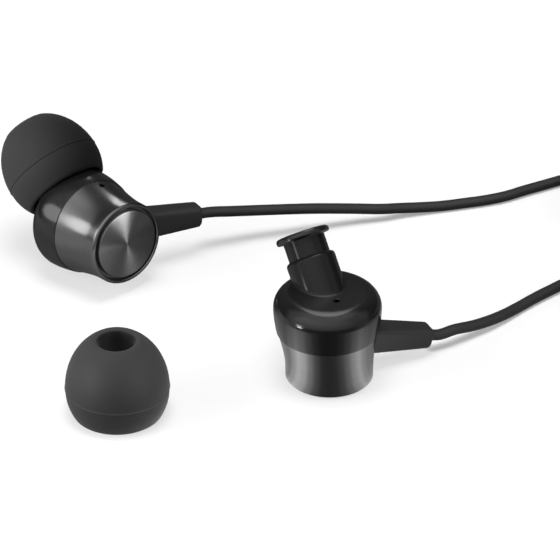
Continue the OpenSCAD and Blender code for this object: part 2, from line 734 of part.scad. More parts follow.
// ---------- plug ----------
module plug_relief() {
    // ribbed sleeve that bends with the cable
    color(rubber) on_plug(0) difference() {
        union() {
            cylinder(h = plug_relief_len, r1 = trunk_d / 2 + 0.35, r2 = 2.1, $fn = small);
            for (i = [0:3]) translate([0, 0, 1 + i * 1.8])
                cylinder(h = 0.8, r = 1.75 + 0.15 * i, $fn = small);
        }
        translate([0, 0, -1]) cylinder(h = 1, r = 5, $fn = small);
    }
}
module on_plug(along) {
    translate(plug_at + along * heading(plug_turn)) rotate([0, 90, plug_turn]) children();
}
module plug_grip() {
    color(gloss_black) on_plug(plug_relief_len) rotate_extrude($fn = fine) polygon(concat(
        [[0, 0]], arc(grip_r - 0.5, 0.5, 0.5, -90, 0, 4), [[grip_r, grip_len - 1]],
        [[grip_r - 0.4, grip_len], [0, grip_len]]
    ));
}
pin_at = plug_relief_len + grip_len;
core_r = 0.7;
tip_len = 4.2;
ring_len = 2;
sleeve_len = pin_len - tip_len - ring_len - 2 * insulator_w;
module contact(from, length) {
    on_plug(pin_at + from) ring(core_r, pin_r, length);
}
module plug_sleeve() {
    color(gold) union() {
        on_plug(pin_at) ring(core_r, 2.6, 0.8);
        contact(0.7, sleeve_len - 0.7);
    }
}
module plug_ring() { color(gold) contact(sleeve_len + insulator_w, ring_len); }
module plug_tip() {
    // profiled tip, whose rod runs back through the sleeve into the grip
    color(gold) on_plug(pin_at + pin_len - tip_len) rotate_extrude($fn = small) polygon([
        [0, tip_len - pin_len], [core_r - 0.02, tip_len - pin_len], [core_r - 0.02, 0],
        [pin_r, 0], [pin_r, 0.5],
        [1.15, 1.3], [pin_r, 2.3], [1.2, 3.6], [0.7, 4.1], [0, tip_len]
    ]);
}
module sleeve_insulator() { color(gloss_black) contact(sleeve_len, insulator_w); }
module tip_insulator() { color(gloss_black) contact(sleeve_len + insulator_w + ring_len, insulator_w); }

front_housing();  // front_housing_right
rear_can();  // rear_can_right
end_cap();  // end_cap_right
nozzle_mesh();  // nozzle_mesh_right
nozzle_damper();  // nozzle_damper_right
vent_screen();  // vent_screen_right
front_gasket();  // front_gasket_right
driver_frame();  // driver_frame_right
diaphragm();  // diaphragm_right
surround();  // surround_right
voice_coil();  // voice_coil_right
top_plate();  // top_plate_right
magnet();  // magnet_right
yoke();  // yoke_right
driver_board();  // driver_board_right
signal_wire(1);  // signal_wire_plus_right
signal_wire(-1);  // signal_wire_minus_right
cable_stop();  // cable_stop_right
inner_lead();  // inner_lead_right
strain_relief();  // strain_relief_right
translate([loose_tip_x, loose_tip_y, 0]) ear_tip();  // ear_tip_right
left_earbud() front_housing();  // front_housing_left
left_earbud() rear_can();  // rear_can_left
left_earbud() end_cap();  // end_cap_left
left_earbud() nozzle_mesh();  // nozzle_mesh_left
left_earbud() nozzle_damper();  // nozzle_damper_left
left_earbud() vent_screen();  // vent_screen_left
left_earbud() front_gasket();  // front_gasket_left
left_earbud() driver_frame();  // driver_frame_left
left_earbud() diaphragm();  // diaphragm_left
left_earbud() surround();  // surround_left
left_earbud() voice_coil();  // voice_coil_left
left_earbud() top_plate();  // top_plate_left
left_earbud() magnet();  // magnet_left
left_earbud() yoke();  // yoke_left
left_earbud() driver_board();  // driver_board_left
left_earbud() signal_wire(1);  // signal_wire_plus_left
left_earbud() signal_wire(-1);  // signal_wire_minus_left
left_earbud() cable_stop();  // cable_stop_left
left_earbud() inner_lead();  // inner_lead_left
left_earbud() strain_relief();  // strain_relief_left
left_earbud() on_nozzle() translate([0, 0, tip_on_nozzle]) ear_tip();  // ear_tip_left
color(rubber) tube(lead_right_route, lead_d / 2, 8);  // lead_right
color(rubber) tube(right_coil_path, lead_d / 2, 6);  // lead_coil_right
color(rubber) tube(lead_tail_right_route, lead_d / 2, 8);  // lead_tail_right
color(rubber) tube(lead_left_route, lead_d / 2, 8);  // lead_left
color(rubber) tube(left_coil_path, lead_d / 2, 6);  // lead_coil_left
color(rubber) tube(lead_tail_left_route, lead_d / 2, 8);  // lead_tail_left
splitter();
color(rubber) tube(trunk_route, trunk_d / 2, 8);  // trunk
color(rubber) tube(trunk_coil_path, trunk_d / 2, 6);  // trunk_coil
color(rubber) tube(trunk_end_route, trunk_d / 2, 8);  // trunk_end
plug_relief();
plug_grip();
plug_sleeve();
plug_ring();
plug_tip();
sleeve_insulator();
tip_insulator();
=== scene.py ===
import math
import bpy
import bmesh
from mathutils import Matrix, Vector


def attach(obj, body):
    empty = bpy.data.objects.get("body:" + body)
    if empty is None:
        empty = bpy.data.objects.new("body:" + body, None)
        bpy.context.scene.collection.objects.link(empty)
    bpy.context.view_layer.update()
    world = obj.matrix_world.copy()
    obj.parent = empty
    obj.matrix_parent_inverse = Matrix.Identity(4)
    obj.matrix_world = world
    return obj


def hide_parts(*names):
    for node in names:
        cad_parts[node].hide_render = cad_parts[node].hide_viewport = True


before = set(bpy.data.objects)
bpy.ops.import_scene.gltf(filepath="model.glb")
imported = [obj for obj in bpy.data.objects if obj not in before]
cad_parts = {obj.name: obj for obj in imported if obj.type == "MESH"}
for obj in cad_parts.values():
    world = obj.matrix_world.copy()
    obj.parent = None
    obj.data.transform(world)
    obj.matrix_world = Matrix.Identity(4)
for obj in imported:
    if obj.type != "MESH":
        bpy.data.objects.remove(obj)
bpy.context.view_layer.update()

mm = 0.001
print("frame loaded:", len(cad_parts), "nodes")

# camera, square to the front and looking down at the earbuds
cameraSetup = {
    "place": (-5.818, -372.539, 242.308),  # mm
    "dip": 31.585,                         # degrees below the horizon
    "lens": 241.33,                        # mm
    "sensor": 36,                          # mm wide
    "clip": (0.01, 20),                    # m
}
cameraData = bpy.data.cameras.new("viewCamera")
cameraData.lens = cameraSetup["lens"]
cameraData.sensor_width = cameraSetup["sensor"]
cameraData.clip_start, cameraData.clip_end = cameraSetup["clip"]
camera = bpy.data.objects.new("viewCamera", cameraData)
camera.location = Vector(cameraSetup["place"]) * mm
camera.rotation_euler = (math.radians(90 - cameraSetup["dip"]), 0, 0)
bpy.context.scene.collection.objects.link(camera)
bpy.context.scene.camera = camera

# where the left earbud lies, and what sits where on both, in mm and degrees
leftLie = {"roll": -94.6, "pitch": 30.9, "yaw": 38.2, "place": (-24.36, 18.6, 6.912)}
exitLie = {"height": 5.4, "turn": 24.4, "dip": 13.5, "reach": 13.5}  # the cable's way out of the can
nozzleLie = {"foot": (-1.43, 2.6, 11.7), "turn": 120.7, "tilt": 38.8}
houseShift = -0.25                                                   # housing's axis from the can's
tipLie = {"loose": (-24.71, -7.5, 0), "fitted": (0, 0, 0.14)}        # on the floor, and up the nozzle


def turned(axis, degrees):
    return Matrix.Rotation(math.radians(degrees), 4, axis)


leftMatrix = (
    Matrix.Translation(Vector(leftLie["place"]) * mm)
    @ turned("Z", leftLie["yaw"]) @ turned("Y", leftLie["pitch"]) @ turned("X", leftLie["roll"])
)
nozzleTurn = turned("Z", nozzleLie["turn"]) @ turned("Y", nozzleLie["tilt"])


def lieOf(side, at=(0, 0, 0), turn=0.0, tilt=0.0):
    # the left earbud mirrors the right one, so its y and its turn change sign
    sign = -1 if side == "left" else 1
    local = (
        Matrix.Translation(Vector((at[0], at[1] * sign, at[2])) * mm)
        @ turned("Z", turn * sign) @ turned("Y", tilt)
    )
    return leftMatrix @ local if side == "left" else local


def exitWay(side):
    return lieOf(side, (0, 0, exitLie["height"]), exitLie["turn"], exitLie["dip"])


def exitPoint(side, reach):
    return exitWay(side) @ Vector((reach * mm, 0, 0)) / mm


# meshes: a shape is (points, faces) with its points in mm
def meshObject(name, shape, sharp=40, mirrored=False):
    # edges that bend more than `sharp` degrees stay crisp
    points, faces = shape
    if mirrored:
        points = [(x, -y, z) for x, y, z in points]
        faces = [tuple(reversed(f)) for f in faces]
    mesh = bpy.data.meshes.new(name)
    mesh.from_pydata([Vector(p) * mm for p in points], [], faces)
    work = bmesh.new()
    work.from_mesh(mesh)
    bmesh.ops.remove_doubles(work, verts=work.verts, dist=1e-7)
    for face in work.faces:
        face.smooth = True
    for edge in work.edges:
        if len(edge.link_faces) == 2 and edge.calc_face_angle(0) > math.radians(sharp):
            edge.smooth = False
    work.to_mesh(mesh)
    work.free()
    piece = bpy.data.objects.new(name, mesh)
    bpy.context.scene.collection.objects.link(piece)
    return piece


def spun(profile, steps, shift=None):
    # profile of (radius, height) turned round z; shift(height) moves a ring along x
    points, faces, rings = [], [], []
    for radius, height in profile:
        x0 = shift(height) if shift else 0
        if radius < 1e-6:
            rings.append([len(points)] * steps)
            points.append((x0, 0, height))
            continue
        rings.append(list(range(len(points), len(points) + steps)))
        for i in range(steps):
            a = 2 * math.pi * i / steps
            points.append((x0 + radius * math.cos(a), radius * math.sin(a), height))
    for low, high in zip(rings, rings[1:]):
        for i in range(steps):
            j = (i + 1) % steps
            corners = []
            for k in (low[i], low[j], high[j], high[i]):
                if k not in corners:
                    corners.append(k)
            if len(corners) > 2:
                faces.append(tuple(corners))
    return points, faces


def between(start, end, steps):
    # evenly spaced values, with both ends among them
    return [start + (end - start) * i / steps for i in range(steps + 1)]


def arc(x, z, radius, start, end, steps):
    angles = [math.radians(a) for a in between(start, end, steps)]
    return [(x + radius * math.cos(a), z + radius * math.sin(a)) for a in angles]


def plugged(outline):
    # outline of a solid core, closed to the axis at both its ends
    return [(0, outline[0][1])] + outline + [(0, outline[-1][1])]


def moved(shape, matrix):
    points, faces = shape
    return [tuple(matrix @ Vector(p)) for p in points], faces


def joined(*shapes):
    points, faces = [], []
    for p, f in shapes:
        faces += [tuple(i + len(points) for i in face) for face in f]
        points += list(p)
    return points, faces


def combined(first, second, operation):
    # two closed shapes made one, or the second cut from the first
    base, tool = meshObject("base", first), meshObject("tool", second)
    change = base.modifiers.new("change", "BOOLEAN")
    change.object = tool
    change.operation = operation
    change.solver = "EXACT"
    bpy.context.view_layer.update()
    evaluated = base.evaluated_get(bpy.context.evaluated_depsgraph_get())
    result = bpy.data.meshes.new_from_object(evaluated)
    points = [tuple(v.co / mm) for v in result.vertices]
    faces = [tuple(p.vertices) for p in result.polygons]
    for spare in (base, tool):
        bpy.data.objects.remove(spare)
    return points, faces


# cords, as long as on earphones of this kind; sizes in mm
cordSetup = {
    "leadWidth": 1.35,
    "trunkWidth": 2.0,
    "leadLength": 340,
    "trunkLength": 850,
    "turnGap": 0.45,        # between neighbouring turns of a coil
    "turnRings": 24,        # points in one turn
    "clear": 0.01,          # off the floor
}


def heading(degrees):
    return Vector((math.cos(math.radians(degrees)), math.sin(math.radians(degrees)), 0))


def smoothStep(t):
    t = min(max(t, 0), 1)
    return t * t * (3 - 2 * t)


def pathLength(points):
    return sum((b - a).length for a, b in zip(points, points[1:]))


def vectors(*rows):
    return [Vector(row) for row in rows]


def coilPath(start, fromAngle, turns, outer, width):
    # clockwise, spiralling in on the floor and out again on top
    pitch = width + cordSetup["turnGap"]
    centre = start - outer * heading(fromAngle)
    steps = round(turns * cordSetup["turnRings"])
    wound = []
    for s in between(0, turns, steps):
        radius = outer - pitch * (turns / 2 - abs(s - turns / 2))
        rise = pitch * smoothStep((s - turns / 2) / 0.5 + 0.5)  # within the half turn where it reverses
        wound.append(centre + radius * heading(fromAngle - 360 * s) + Vector((0, 0, rise)))
    last = fromAngle - 360 * turns
    return [start - width * heading(fromAngle - 90)] + wound + [wound[-1] + width * heading(last - 90)]


def cordPath(exitAt, away, route, width, length):
    # out of a piece, along the lead, round the coil and along the tail; the coil takes up what is left
    straight = route["straight"]
    coilIn = route["start"] - width * heading(route["from"] - 90)
    lead = [exitAt, exitAt + straight * away] + route["lead"] + [coilIn]
    tail = route["tail"] + [route["end"] - straight * heading(route["endWay"]), route["end"]]
    wound = length - pathLength(lead) - pathLength(tail) - route["spare"]
    turns = route["turns"]
    outer = wound / (2 * math.pi * turns) + turns * (width + cordSetup["turnGap"]) / 4
    coil = coilPath(route["start"], route["from"], turns, outer, width)
    leave = (coil[-1] - coil[-2]).normalized()
    return lead + coil[1:] + [coil[-1] + straight * leave] + tail


leadWidth, trunkWidth = cordSetup["leadWidth"], cordSetup["trunkWidth"]
leadZ, trunkZ = leadWidth / 2 + cordSetup["clear"], trunkWidth / 2 + cordSetup["clear"]
splitterLie = {"place": (60, 30, 1.91), "length": 12, "leadOff": 0.85}  # mm, along x
splitterAt = Vector(splitterLie["place"])
leadOff = Vector((0, splitterLie["leadOff"], 0))

# "straight" is the run next to each end and coil, "from" where the coil starts, in degrees round it,
# and "spare" what the curve gains on the straight lines between its points
cordRoutes = {
    "right": {
        "straight": 1.4, "from": 105, "turns": 5.972, "start": Vector((41, 25, leadZ)), "spare": 4,
        "lead": vectors(
            (15, 7.05, 1.95), (17, 8.5, 1.5), (18.9, 9.95, 1.2), (20.9, 11.8, 0.9),
            (22.9, 13.9, leadZ), (25.1, 16.1, leadZ), (27.3, 18.1, leadZ),
            (29.6, 20.1, leadZ), (32, 21.9, leadZ), (34.6, 23.3, leadZ), (37.3, 24.1, leadZ)),
        "tail": vectors(
            (43.6, 26.3, 2.3), (46.2, 27.2, 1.8), (48.9, 28, 1.2),
            (51.7, 28.6, 0.8), (54.2, 29, 0.75), (56.4, 29.2, 1.2)),
        "end": splitterAt - leadOff, "endWay": 0,
    },
    "left": {
        "straight": 1.4, "from": 98, "turns": 6.189, "start": Vector((40.2, 47.3, leadZ)), "spare": 3,
        "lead": vectors(
            (-12, 30.25, 4.7), (-9.4, 31.3, 4.2), (-6.7, 32, 3.9), (-4, 32.85, 3.5), (-1.3, 33.65, 3.1),
            (1.4, 34.5, 2.6), (4.1, 35.3, 2.1), (6.8, 35.9, 1.7), (9.5, 36.9, 1.25), (12.2, 37.7, 0.9),
            (14.9, 38.4, 0.7), (17.6, 39.1, leadZ), (20.2, 39.8, leadZ), (22.8, 40.8, leadZ),
            (25.4, 42.3, leadZ), (28, 43.7, leadZ), (30.6, 45.1, leadZ), (33.2, 46.2, leadZ),
            (36, 46.8, leadZ)),
        "tail": vectors(
            (51.4, 39.4, 2), (52.3, 36.9, 1.5), (53.3, 34.4, 1.05), (54.8, 32.3, 1), (56.9, 31.1, 1.4)),
        "end": splitterAt + leadOff, "endWay": 0,
    },
    "trunk": {
        "straight": 2, "from": 45, "turns": 10.861, "start": Vector((89.1, 21.1, trunkZ)), "spare": 5.9457,
        "lead": vectors((77, 29.6, 1.6), (80, 28.3, 1.2), (83.4, 26.2, trunkZ)),
        "tail": vectors(
            (81.8, 27.1, 3.4), (84.9, 27.8, 3.25), (88.1, 28.8, 2.6), (91.2, 29.6, 1.9),
            (94.3, 29.8, 1.7), (96.6, 29.1, 2.1), (98.2, 27.4, 2.7)),
        "end": Vector((98.8, 23.4, 3.01)), "endWay": -90,
    },
}


def cordCurve(name, path, width):
    curve = bpy.data.curves.new(name, "CURVE")
    curve.dimensions = "3D"
    curve.bevel_depth = 1
    curve.bevel_resolution = 6
    curve.resolution_u = 4
    curve.use_fill_caps = True
    spline = curve.splines.new("BEZIER")
    spline.bezier_points.add(len(path) - 1)
    for point, at in zip(spline.bezier_points, path):
        point.co = at * mm
        point.handle_left_type = point.handle_right_type = "AUTO"
        point.radius = width / 2 * mm  # the curve's own box follows the points' radius
    piece = bpy.data.objects.new(name, curve)
    bpy.context.scene.collection.objects.link(piece)
    return piece


cordPieces = {}
for side in ("right", "left"):
    exitAt = exitPoint(side, exitLie["reach"])
    away = (exitAt - exitPoint(side, 0)).normalized()
    path = cordPath(exitAt, away, cordRoutes[side], leadWidth, cordSetup["leadLength"])
    piece = cordCurve("lead_cord_" + side, path, leadWidth)
    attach(piece, "earphones")
    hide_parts("lead_" + side, "lead_coil_" + side, "lead_tail_" + side)
    cordPieces[side] = piece
trunkAt = splitterAt + splitterLie["length"] * heading(0)
path = cordPath(trunkAt, heading(0), cordRoutes["trunk"], trunkWidth, cordSetup["trunkLength"])
trunk = cordCurve("trunk_cord", path, trunkWidth)
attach(trunk, "earphones")
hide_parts("trunk", "trunk_coil", "trunk_end")
cordPieces["trunk"] = trunk
print("cords laid")

# end cap: a turned disc on a boss
capSize = {
    "radius": 4.33, "thick": 0.72,
    "edge": 0.14, "edgeIn": 0.05,  # the rounded rim, and the point half way round it
    "bossRadius": 3.2, "bossTop": 1.3,
}


def makeCap(side):
    c = capSize
    radius, edge, half = c["radius"], c["edge"], c["edgeIn"]
    face = [(0, 0), (radius - edge, 0), (radius - half, half), (radius, edge), (radius, c["thick"])]
    boss = [(c["bossRadius"], c["thick"]), (c["bossRadius"], c["bossTop"]), (0, c["bossTop"])]
    return meshObject("cap_disc_" + side, spun(face + boss, steps=192), sharp=30, mirrored=side == "left")


# rear can: flares towards the housing, with a groove round the cap and a small vent
canSize = {
    "endRadius": 5.2, "seamRadius": 5.93, "straight": 1.6, "seam": 6.5, "flarePower": 1.6,
    "rim": 0.15, "edge": 0.3, "wallRings": 24,
    "capGap": 0.03, "grooveRadius": 4.73, "grooveFloor": 0.71, "grooveEdge": 0.08,
    "collarRadius": 5.4, "collarTop": 7.1,
    "hollow": [(5.15, 7.1), (5.15, 6.45), (5.5, 6.2), (5.3, 5), (5, 3), (4.9, 1.5)],  # radius and height
    "vent": 0.35, "ventTurn": 112, "ventHeight": 5.55,
    "ventCut": (4.5, 7),  # from where to where off the axis
}


def flareShare(z):
    c = canSize
    return max(0, (z - c["straight"]) / (c["seam"] - c["straight"])) ** c["flarePower"]


def canProfile():
    # from the groove's floor out to the wall, up it, and down again inside
    c = canSize
    rim, edge, end = c["rim"], c["edge"], c["endRadius"]
    cap, groove, ease = capSize["radius"] + c["capGap"], c["grooveRadius"], c["grooveEdge"]
    inside = [(cap, c["grooveFloor"]), (groove, c["grooveFloor"]), (groove, rim + ease), (groove + ease, rim)]
    corner = arc(end - edge, rim + edge, edge, -90, 0, 6)
    heights = between(rim + edge, c["seam"], c["wallRings"])[1:]
    wall = [(end + (c["seamRadius"] - end) * min(1, flareShare(z)), z) for z in heights]
    collar = [(c["collarRadius"], c["seam"]), (c["collarRadius"], c["collarTop"])]
    hollow = c["hollow"] + [(cap, c["hollow"][-1][1])]
    return inside + corner + wall + collar + hollow + inside[:1]


def makeCan(side):
    c = canSize
    can = spun(canProfile(), steps=192, shift=lambda z: houseShift * min(1, flareShare(z)))
    way = turned("Z", c["ventTurn"]) @ Matrix.Translation((0, 0, c["ventHeight"])) @ turned("Y", 90)
    vent = spun(plugged([(c["vent"], along) for along in c["ventCut"]]), steps=32)
    can = combined(can, moved(vent, way), "DIFFERENCE")
    return meshObject("rear_shell_" + side, can, sharp=30, mirrored=side == "left")


# front housing: round shell with a flat deck, and the slanted nozzle on a collar
houseSize = {
    "seamRadius": 6.03, "seamEdge": 0.06, "radius": 6.38, "seam": 6.5, "deck": 11.7, "shoulder": 2.1,
    "wallRings": 10, "deckRing": 3,  # steps up the wall, and an inner ring of points on the deck
    "collarRadius": 2.97, "collarFoot": 2.6, "collarTop": 2.8, "collarEdge": 0.45,
    "neckRadius": 2.5, "neckTop": 5.1,
    "neckCrease": [(0.06, 0.01), (0, 0.08)],  # out from the neck and up from the collar
    "neckShoulder": [(0, -0.1), (0.08, 0)],  # out from the neck and up from its top
    "lipRadius": 3.23, "lipTop": 5.85, "lipUnder": 0.18, "lipRound": 0.4,
    "bore": 1.9, "boreFoot": -2.2, "screen": 2.38, "screenDepth": 0.3, "screenEdge": 0.06,
    "ventAt": (0.78, -2.04), "vent": 0.38, "ventDepth": 1.4, "ventEdge": 0.07,
    "ventOver": 0.13,  # how far its cutter stands over the deck
    "chamber": [(5.45, 5.9), (5.45, 7.15), (5.2, 7.15), (5.2, 10.6), (4.7, 11)],  # radius and height
    "footFillet": 0.35,
    "filletLift": 0.004,  # its edges off the faces that it joins
    "filletFull": 0.01,  # its middle out from the crease
    "filletBack": 0.06,  # its closed back under them
}


def shoulderRadius(z):
    h = houseSize
    if z <= h["deck"] - h["shoulder"]:
        share = (z - h["seam"]) / (h["deck"] - h["seam"] - h["shoulder"])
        return h["seamRadius"] + (h["radius"] - h["seamRadius"]) * math.sin(math.pi / 2 * max(0, share))
    inside = max(0, h["shoulder"] ** 2 - (z - h["deck"] + h["shoulder"]) ** 2)
    return h["radius"] - h["shoulder"] + math.sqrt(inside)


def houseShell():
    h = houseSize
    seam, top, bend, edge = h["seam"], h["deck"], h["shoulder"], h["seamEdge"]
    profile = [(0, seam), (h["seamRadius"] - edge, seam), (h["seamRadius"], seam + edge)]
    profile += [(shoulderRadius(z), z) for z in between(seam, top - bend, h["wallRings"])[1:-1]]
    profile += arc(h["radius"] - bend, top - bend, bend, 0, 90, 16) + [(h["deckRing"], top), (0, top)]
    return spun(profile, steps=192)


def nozzleShell():
    h = houseSize
    collar, neck, lip, screen = h["collarRadius"], h["neckRadius"], h["lipRadius"], h["screen"]
    under, edge, mouth = h["lipUnder"], h["lipRound"], h["screenEdge"]
    profile = [(0, -h["collarFoot"]), (collar, -h["collarFoot"])]
    profile += arc(collar - h["collarEdge"], h["collarTop"] - h["collarEdge"], h["collarEdge"], 0, 80, 6)
    profile += [(neck + out, h["collarTop"] + up) for out, up in h["neckCrease"]]
    profile += [(neck + out, h["neckTop"] + up) for out, up in h["neckShoulder"]]
    profile += arc(lip - under, h["neckTop"] + under, under, -80, 0, 4)
    profile += arc(lip - edge, h["lipTop"] - edge, edge, 0, 90, 6)
    profile += [(screen + mouth, h["lipTop"]), (screen, h["lipTop"] - mouth)]
    profile += [(screen, h["lipTop"] - h["screenDepth"]), (0, h["lipTop"] - h["screenDepth"])]
    return spun(profile, steps=128)


def footFillet():
    # ring that eases the collar into the deck and shoulder; points in the housing's own axes
    h = houseSize
    foot = Vector(nozzleLie["foot"]) - Vector((houseShift, 0, 0))
    up, across, over = (nozzleTurn @ Vector(v) for v in ((0, 0, 1), (1, 0, 0), (0, 1, 0)))

    def outside(p):
        return p.z > h["deck"] or math.hypot(p.x, p.y) > shoulderRadius(min(p.z, h["deck"]))

    def onShell(p):
        # nearest point of the deck or shoulder, and the way out of it
        ring = h["radius"] - h["shoulder"]
        flatWay = Vector((p.x, p.y, 0))
        if flatWay.length <= ring:
            return Vector((p.x, p.y, h["deck"])), Vector((0, 0, 1))
        centre = flatWay.normalized() * ring + Vector((0, 0, h["deck"] - h["shoulder"]))
        way = (p - centre).normalized()
        return centre + way * h["shoulder"], way

    points, faces = [], []
    steps, strip, size = 128, 6, h["footFillet"]
    for i in range(steps):
        a = 2 * math.pi * i / steps
        side = across * math.cos(a) + over * math.sin(a)
        low, high = -h["collarFoot"], h["collarFoot"]
        for _ in range(40):  # halves the stretch of collar in which it leaves the shell
            middle = (low + high) / 2
            if outside(foot + side * h["collarRadius"] + up * middle):
                high = middle
            else:
                low = middle
        crease = foot + side * h["collarRadius"] + up * high
        way = onShell(crease)[1]
        along = (side - way * side.dot(way)).normalized()
        start = crease + up * size + side * h["filletLift"]
        full = crease + side * h["filletFull"]
        end = onShell(crease + along * size)[0]
        end = end + onShell(end)[1] * h["filletLift"]
        for t in between(0, 1, strip):
            points.append(tuple(start * (1 - t) ** 2 + full * 2 * t * (1 - t) + end * t ** 2))
        points.append(tuple(crease - (side + way) * h["filletBack"]))
    count = strip + 2
    for i in range(steps):
        for k in range(count):
            a, b, step = i * count + k, ((i + 1) % steps) * count + k, 1 if k < count - 1 else 1 - count
            faces.append((a, a + step, b + step, b))
    return points, faces


def makeHousing(side):
    h = houseSize
    onCan = Matrix.Translation((houseShift, 0, 0))
    onFoot = Matrix.Translation(nozzleLie["foot"]) @ nozzleTurn
    chamber = spun(plugged(h["chamber"]), steps=96)
    boreTop = h["lipTop"] - h["screenDepth"] / 2
    bore = spun(plugged([(h["bore"], h["boreFoot"]), (h["bore"], boreTop)]), steps=128)
    deck, vent, edge, above = h["deck"], h["vent"], h["ventEdge"], h["ventOver"]
    ventCut = spun(plugged([
        (vent, deck - h["ventDepth"]), (vent, deck - edge), (vent + edge + above, deck + above)]), steps=48)
    onVent = Matrix.Translation((*h["ventAt"], 0))
    body = combined(moved(houseShell(), onCan), moved(nozzleShell(), onFoot), "UNION")
    for cutter in (moved(chamber, onCan), moved(ventCut, onVent), moved(bore, onFoot)):
        body = combined(body, cutter, "DIFFERENCE")
    body = joined(body, moved(footFillet(), onCan))
    return meshObject("front_shell_" + side, body, sharp=32, mirrored=side == "left")


# strain relief: a boot that tapers to the cable
reliefSize = {
    "rootWidth": 3.6, "rootHeight": 3.25, "endWidth": 2.75, "endHeight": 2.6,
    "root": 3.95, "reach": 13.5, "endRound": 0.55, "hole": 0.71,
    "sections": (4.6, 6, 8, 10, 12),  # between the root and the round end
    "rootCorner": 0.42, "endCorner": 0.72, "leastCorner": 0.3,
    "cornerDraw": 0.6,  # how much of the round end's inset the corners lose
}


def roundedSection(width, height, corner, steps=6):
    points = []
    for sx, sy, start in ((1, 1, 0), (-1, 1, 90), (-1, -1, 180), (1, -1, 270)):
        points += arc(sx * (width / 2 - corner), sy * (height / 2 - corner), corner, start, start + 90, steps)
    return points


def makeRelief(side):
    # lofted along its own x, wide along y and high along z
    r = reliefSize
    stations = [(x, 0) for x in (r["root"], *r["sections"])]  # place, and how far the section is drawn in
    stations += arc(r["reach"] - r["endRound"], r["endRound"], r["endRound"], -90, 0, 6)
    points, faces, rings = [], [], []
    for x, inset in stations:
        share = (x - r["root"]) / (r["reach"] - r["root"])
        width = r["rootWidth"] + (r["endWidth"] - r["rootWidth"]) * share - 2 * inset
        height = r["rootHeight"] + (r["endHeight"] - r["rootHeight"]) * share - 2 * inset
        corner = r["rootCorner"] + (r["endCorner"] - r["rootCorner"]) * share - inset * r["cornerDraw"]
        rings.append(len(points))
        section = roundedSection(width, height, max(r["leastCorner"], corner))
        points += [(x, y, z) for y, z in section]
    count = rings[1]
    angles = [math.atan2(z, y) for y, z in section]
    for x in (r["reach"], r["root"]):  # the cable's hole, back to the root
        rings.append(len(points))
        points += [(x, r["hole"] * math.cos(a), r["hole"] * math.sin(a)) for a in angles]
    for low, high in zip(rings, rings[1:] + rings[:1]):
        for i in range(count):
            j = (i + 1) % count
            faces.append((low + i, low + j, high + j, high + i))
    return meshObject("relief_boot_" + side, (points, faces), mirrored=side == "left")


# ear tip: dome, skirt and stem in one skin, with a pocket for the nozzle's lip
tipSize = {
    "radius": 6.1, "height": 9.7, "rim": 5.2,
    "wide": 3.2, "power": 2.1,  # height of the widest place, and how late the dome falls
    "mouth": 2.9, "mouthEdge": 0.08, "hole": 2.12,
    "mouthRound": [(0.3, 0.02), (0.1, 0.12), (0, 0.35)],  # out from the hole and down from the top
    "pocket": (4.86, 5.81), "pocketSlope": 0.3, "lip": 3.27, "seat": 2.54,
    "stem": 3.8, "stemFrom": 2.76, "seatEdge": 0.1, "stemEdge": (0.25, 0.3),
    "hollow": 6.3, "rootRound": (0.1, 0.3),
    "skirt": 0.4, "swell": 0.5,  # its wall at the rim, and what it gains up to the root
    "rimRound": [(0.3, 0), (0.12, 0), (0.02, 0.05)],  # in from the rim and up
    "rimInside": 0.06,
    "skinFrom": 0.12, "skinTo": 0.08,  # the dome's first ring over the rim, the last under the top
    "skinRings": 44, "hollowRings": 16,  # steps up the outside, and down the inside
    "mouldLine": 3.4, "lineOut": 0.05, "lineWidth": 0.07,
    "lineRings": (-0.16, -0.08, -0.03, 0.03, 0.08),
    "mouldStep": 0.05, "stepFade": 1.2,  # the skirt's half sits in from the dome's, less so further down
}


def tipRadius(z):
    t = tipSize
    if z < t["wide"]:
        return t["radius"] - (t["radius"] - t["rim"]) * (1 - z / t["wide"]) ** 2
    fall = 1 - (t["mouth"] / t["radius"]) ** 2
    share = (z - t["wide"]) / (t["height"] - t["wide"])
    return t["radius"] * math.sqrt(max(0, 1 - fall * share ** t["power"]))


def tipOutside():
    # the dome and skirt, with the line where the mould's halves met
    t = tipSize
    heights = between(t["skinFrom"], t["height"] - t["skinTo"], t["skinRings"])
    heights += [t["mouldLine"] + away for away in t["lineRings"]]
    outside = []
    for z in sorted(heights):
        below = t["mouldLine"] - z
        radius = tipRadius(z) + t["lineOut"] * math.exp(-(below / t["lineWidth"]) ** 2)
        if below > 0:
            radius -= t["mouldStep"] * math.exp(-below / t["stepFade"])
        outside.append((radius, z))
    return outside


def tipProfile():
    t = tipSize
    top, hole, lip, seat, stem = t["height"], t["hole"], t["lip"], t["seat"], t["stem"]
    pocketFoot, pocketTop = t["pocket"]
    (stemOut, stemUp), (rootOut, rootDown) = t["stemEdge"], t["rootRound"]
    mouth = [(t["mouth"] - t["mouthEdge"], top)] + [(hole + out, top - down) for out, down in t["mouthRound"]]
    pocket = [(hole, pocketTop + t["pocketSlope"]), (lip, pocketTop), (lip, pocketFoot), (seat, pocketFoot)]
    foot = [(seat, t["stemFrom"] + t["seatEdge"]), (seat + t["seatEdge"], t["stemFrom"])]
    foot += [(stem - stemOut, t["stemFrom"]), (stem, t["stemFrom"] + stemUp), (stem, t["hollow"] - rootDown)]
    inside = []
    for z in between(t["hollow"], 0, t["hollowRings"]):
        wall = t["skirt"] + t["swell"] * z / t["hollow"]
        inside.append((max(stem + rootOut, tipRadius(z) - wall), max(z, t["rimInside"])))
    rim = [(t["rim"] - back, up) for back, up in t["rimRound"]]
    return rim + tipOutside() + mouth + pocket + foot + inside + rim[:1]


def makeTip(side):
    return meshObject("tip_dome_" + side, spun(tipProfile(), steps=160), sharp=50, mirrored=side == "left")


